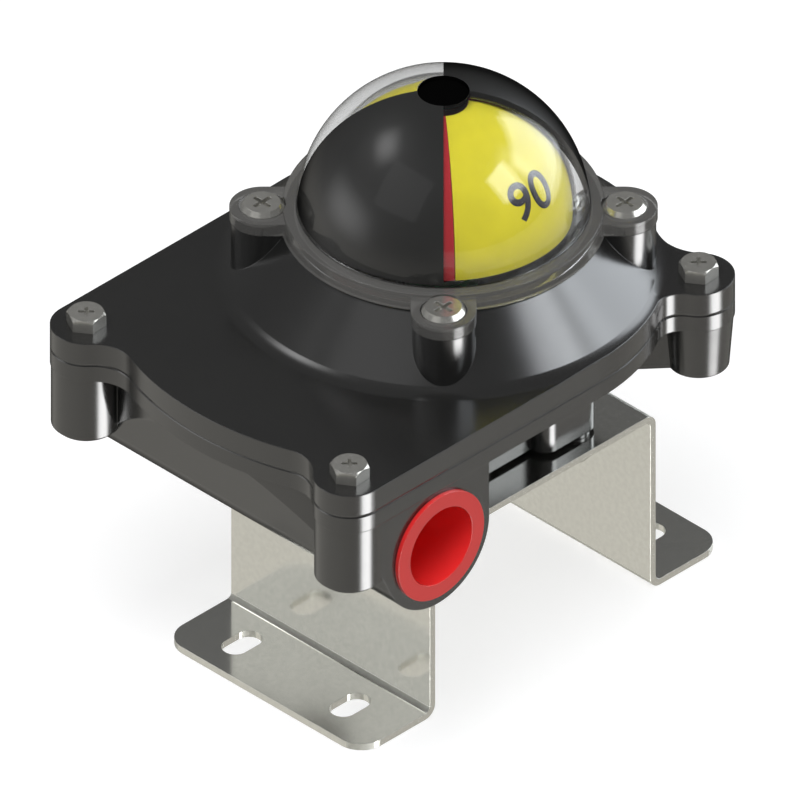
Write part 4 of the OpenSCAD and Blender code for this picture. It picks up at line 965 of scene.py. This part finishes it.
@dataclass(frozen=True)
class Softbox:
    """A bright panel that glossy surfaces see in the sky round the object.

    Attributes:
        azimuth: its middle, in degrees from +X towards +Y.
        elevation: its middle, in degrees over the horizon.
        half_width: half of its width, in degrees.
        half_height: half of its height, in degrees.
        strength: its brightness, where 1 is white.
        colour: its colour.
        soft: share of its half size over which its edge fades.
        ahead_fade: cosine over which its light fades in, off its back side.
        least_ahead: smallest cosine that a direction is divided by.
    """

    azimuth: float
    elevation: float
    half_width: float
    half_height: float
    strength: float
    colour: Colour = WHITE
    soft: float = 0.25
    ahead_fade: ClassVar[float] = 0.05
    least_ahead: ClassVar[float] = 0.01

    def shine(self, graph: Graph, direction: bpy.types.NodeSocket,
              share: object = 1.0) -> bpy.types.NodeSocket:
        """Adds the panel's light to the world.

        Args:
            graph: the world's graph.
            direction: the direction that a ray looks in.
            share: value or socket from 0 to 1 that dims the panel.

        Returns:
            A shader socket that is dark outside the panel.
        """
        az, el = math.radians(self.azimuth), math.radians(self.elevation)
        facing = (math.cos(el) * math.cos(az), math.cos(el) * math.sin(az), math.sin(el))
        side = (-math.sin(az), math.cos(az), 0.0)
        top = (-math.sin(el) * math.cos(az), -math.sin(el) * math.sin(az), math.cos(el))
        ahead = graph.dot(direction, facing)
        mask = graph.ramp(ahead, 0.0, self.ahead_fade)
        for axis, half in ((side, self.half_width), (top, self.half_height)):
            reach = math.tan(math.radians(half))
            slant = graph.math("DIVIDE", graph.dot(direction, axis),
                               graph.math("MAXIMUM", ahead, self.least_ahead))
            off = graph.math("ABSOLUTE", slant)
            inside = graph.ramp(off, reach * (1 - self.soft), reach * (1 + self.soft), 1.0, 0.0)
            mask = graph.math("MULTIPLY", mask, inside)
        mask = graph.math("MULTIPLY", mask, share)
        light = graph.add("ShaderNodeBackground", Color=rgba(self.colour),
                          Strength=graph.math("MULTIPLY", mask, self.strength))
        return light.outputs[0]


@dataclass(frozen=True)
class Lamp:
    """A broad lamp that lights matt surfaces and isn't seen in glossy ones.

    Attributes:
        name: name of the lamp.
        azimuth: its direction, in degrees from +X towards +Y.
        elevation: its direction, in degrees over the horizon.
        watts: its power.
        size: its diameter, in metres.
        distance: how far it is from the point it aims at.
        colour: its colour.
        aim_z: height of the point it aims at.
    """

    name: str
    azimuth: float
    elevation: float
    watts: float
    size: float
    distance: float = 0.7
    colour: Colour = WHITE
    aim_z: float = 0.06

    def hang(self) -> None:
        """Makes the lamp and turns it to the object."""
        data = bpy.data.lights.new(self.name, "AREA")
        data.shape = "DISK"
        data.size = self.size
        data.energy = self.watts
        data.color = self.colour
        lamp = bpy.data.objects.new(self.name, data)
        bpy.context.scene.collection.objects.link(lamp)
        az, el = math.radians(self.azimuth), math.radians(self.elevation)
        out = Vector((math.cos(el) * math.cos(az), math.cos(el) * math.sin(az), math.sin(el)))
        lamp.matrix_world = (Matrix.Translation(out * self.distance
                                                + Vector((0.0, 0.0, self.aim_z)))
                             @ out.to_track_quat("Z", "Y").to_matrix().to_4x4())
        lamp.visible_glossy = False
        lamp.visible_transmission = False


@dataclass
class Studio:
    """Floor, sky, lamps and camera.

    Lengths are in metres.

    Attributes:
        ambient: strength of the even light on matt surfaces.
        sky_low: colour that glossy surfaces see under the horizon.
        sky_high: colour that they see over it.
        horizon: heights of a direction between which the sky goes from low to high.
        right_share: brightness of the sky on the camera's right.
        right_reach: cosines between which the sky goes from left to right.
        away_share: brightness of the sky straight behind the object.
        away_reach: cosines between which the sky behind the object darkens.
        floor_half: half of the floor's side.
        floor_drop: gap between the feet and the floor.
        floor_grey: colour of the floor.
        floor_roughness: roughness of the floor.
        floor_glow: what the floor adds where the camera sees it, to be white.
        view_width: width that the camera sees.
        aim_right: how far to the right of the origin it aims.
        aim_up: how far over the origin it aims.
        stand_off: how far it stands from the origin.
        sight: how far it sees.
        lamps: the lamps.
        softboxes: the panels of the sky.
        fold_fill: panel seen only by what was mirrored before, in the folds of the sheet.
        second_mirror: count of mirrorings above which the fold fill is seen.
        right: direction to the camera's right.
        back: direction from the origin to the camera.
    """

    ambient: float = 0.31
    sky_low: Colour = (0.66, 0.64, 0.59)
    sky_high: Colour = (0.145, 0.145, 0.145)
    horizon: Range = (-0.45, 0.0)
    right_share: float = 0.75
    right_reach: Range = (-0.8, 0.8)
    away_share: float = 0.15
    away_reach: Range = (0.75, 0.97)
    floor_half: float = 3.0
    floor_drop: float = 0.2 * MM
    floor_grey: float = 0.5
    floor_roughness: float = 0.9
    floor_glow: float = 0.70
    view_width: float = 157.26 * MM
    aim_right: float = -8.55 * MM
    aim_up: float = 38.29 * MM
    stand_off: float = 0.6
    sight: float = 10.0
    lamps: tuple[Lamp, ...] = (
        Lamp("key_lamp", -150.0, 66.0, 4.4, 0.50, colour=(0.97, 0.98, 1.0)),
        Lamp("front_lamp", -70.0, 2.0, 0.55, 0.40),
    )
    softboxes: tuple[Softbox, ...] = (
        Softbox(-79.0, -36.0, 14.0, 7.5, 10.0, soft=0.4),
        Softbox(-19.0, 20.0, 22.0, 21.0, 3.6, (0.90, 0.95, 1.0), soft=0.12),
        Softbox(-45.0, 34.0, 11.0, 15.0, 1.2, (0.92, 0.96, 1.0), soft=0.4),
        Softbox(-64.4, 36.0, 11.0, 12.0, 4.6, (0.92, 0.96, 1.0), soft=0.1),
        Softbox(123.0, 50.0, 10.0, 7.0, 3.0, soft=0.9),
        Softbox(142.0, 3.0, 18.0, 10.0, 1.6, soft=0.9),
        Softbox(-179.0, 41.0, 19.0, 18.0, 0.35, soft=0.08),
    )
    fold_fill: Softbox = Softbox(135.0, 35.0, 25.0, 25.0, 0.52, soft=0.5)
    second_mirror: float = 1.5
    right: Vector = field(default_factory=lambda: Vector((1.0, -1.0, 0.0)).normalized())
    back: Vector = field(default_factory=lambda: Vector((-1.0, -1.0, 1.0)).normalized())

    def build(self) -> None:
        """Makes the whole studio."""
        self._camera()
        self._floor()
        self._sky()
        for lamp in self.lamps:
            lamp.hang()
        bpy.context.scene.view_settings.view_transform = "Standard"

    def _camera(self) -> None:
        """Places the isometric camera of the photograph."""
        up = self.back.cross(self.right)
        data = bpy.data.cameras.new("isometric_camera")
        data.type = "ORTHO"
        data.ortho_scale = self.view_width
        data.clip_end = self.sight
        camera = bpy.data.objects.new("isometric_camera", data)
        bpy.context.scene.collection.objects.link(camera)
        spot = self.right * self.aim_right + up * self.aim_up + self.back * self.stand_off
        turn = Matrix((self.right, up, self.back)).transposed().to_4x4()
        camera.matrix_world = Matrix.Translation(spot) @ turn
        bpy.context.scene.camera = camera

    def _floor(self) -> None:
        """Lays the pale floor, which keeps the shadow and is white where the camera sees it."""
        sheet = bmesh.new()
        bmesh.ops.create_grid(sheet, x_segments=2, y_segments=2, size=self.floor_half)
        bmesh.ops.translate(sheet, verts=sheet.verts, vec=(0.0, 0.0, -self.floor_drop))
        mesh = bpy.data.meshes.new("floor")
        sheet.to_mesh(mesh)
        sheet.free()
        floor = bpy.data.objects.new("floor", mesh)
        bpy.context.scene.collection.objects.link(floor)
        floor.visible_glossy = False
        material = bpy.data.materials.new("floor_white")
        material.use_nodes = True
        graph = Graph(material.node_tree)
        shader = material.node_tree.nodes["Principled BSDF"]
        shader.inputs["Base Color"].default_value = rgba((self.floor_grey,) * 3)
        shader.inputs["Roughness"].default_value = self.floor_roughness
        shader.inputs["Specular IOR Level"].default_value = 0.0
        shader.inputs["Emission Color"].default_value = rgba(WHITE)
        rays = graph.add("ShaderNodeLightPath")
        seen = graph.math("MAXIMUM", rays.outputs["Is Camera Ray"],
                          rays.outputs["Is Transmission Ray"])
        graph.put(shader.inputs["Emission Strength"], graph.math("MULTIPLY", seen, self.floor_glow))
        mesh.materials.append(material)

    def _sky(self) -> None:
        """Makes the sky: even light for matt surfaces, panels for glossy ones, white to the eye."""
        world = bpy.data.worlds.new("studio_sky")
        bpy.context.scene.world = world
        world.use_nodes = True
        world.cycles.sampling_method = "NONE"
        world.node_tree.nodes.clear()
        graph = Graph(world.node_tree)
        rays = graph.add("ShaderNodeLightPath").outputs
        mirrored = graph.math("MINIMUM", rays["Glossy Depth"], 1.0)
        scattered = graph.math("MINIMUM", rays["Diffuse Depth"], 1.0)
        unbent = graph.math("SUBTRACT", 1.0, graph.math("MAXIMUM", mirrored, scattered))
        through = rays["Is Transmission Ray"]
        shiny = graph.math("MAXIMUM", rays["Is Glossy Ray"],
                           graph.math("MULTIPLY", through, mirrored))
        eye = graph.math("MAXIMUM", rays["Is Camera Ray"],
                         graph.math("MULTIPLY", through, unbent))
        plain = graph.add("ShaderNodeBackground", Color=rgba(WHITE), Strength=self.ambient)
        white = graph.add("ShaderNodeBackground", Color=rgba(WHITE), Strength=1.0)
        lit = graph.blend(shiny, plain.outputs[0], self._panels(graph, rays["Glossy Depth"]))
        output = graph.add("ShaderNodeOutputWorld")
        graph.put(output.inputs["Surface"], graph.blend(eye, lit, white.outputs[0]))

    def _panels(self, graph: Graph, depth: bpy.types.NodeSocket) -> bpy.types.NodeSocket:
        """Adds the sky that glossy surfaces see, with its panels.

        Args:
            graph: the world's graph.
            depth: how many glossy surfaces the ray has met.

        Returns:
            The sky's shader socket.
        """
        direction = graph.add("ShaderNodeTexCoord").outputs["Generated"]
        height = graph.ramp(graph.dot(direction, UPWARDS), *self.horizon)
        across = graph.ramp(graph.dot(direction, tuple(self.right)), *self.right_reach, 1.0,
                            self.right_share)
        behind = graph.ramp(graph.dot(direction, tuple(-self.back)), *self.away_reach, 1.0,
                            self.away_share)
        sky = graph.add("ShaderNodeBackground", Strength=graph.math("MULTIPLY", across, behind),
                        Color=graph.mix(height, rgba(self.sky_low), rgba(self.sky_high)))
        total = sky.outputs[0]
        for panel in self.softboxes:
            total = graph.both(total, panel.shine(graph, direction))
        again = graph.step(depth, self.second_mirror, 0.5)
        return graph.both(total, self.fold_fill.shine(graph, direction, again))


def main() -> None:
    """Builds the studio and the sub-assemblies in order and reports each piece."""
    logging.basicConfig(level=logging.INFO, format="%(message)s")
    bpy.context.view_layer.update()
    Studio().build()
    shop = Workshop()
    for kind in (Bracket, Housing, Dome, Spindle, Indicator, Switches, Terminals):
        kind(shop).build()


if __name__ == "__main__":
    main()
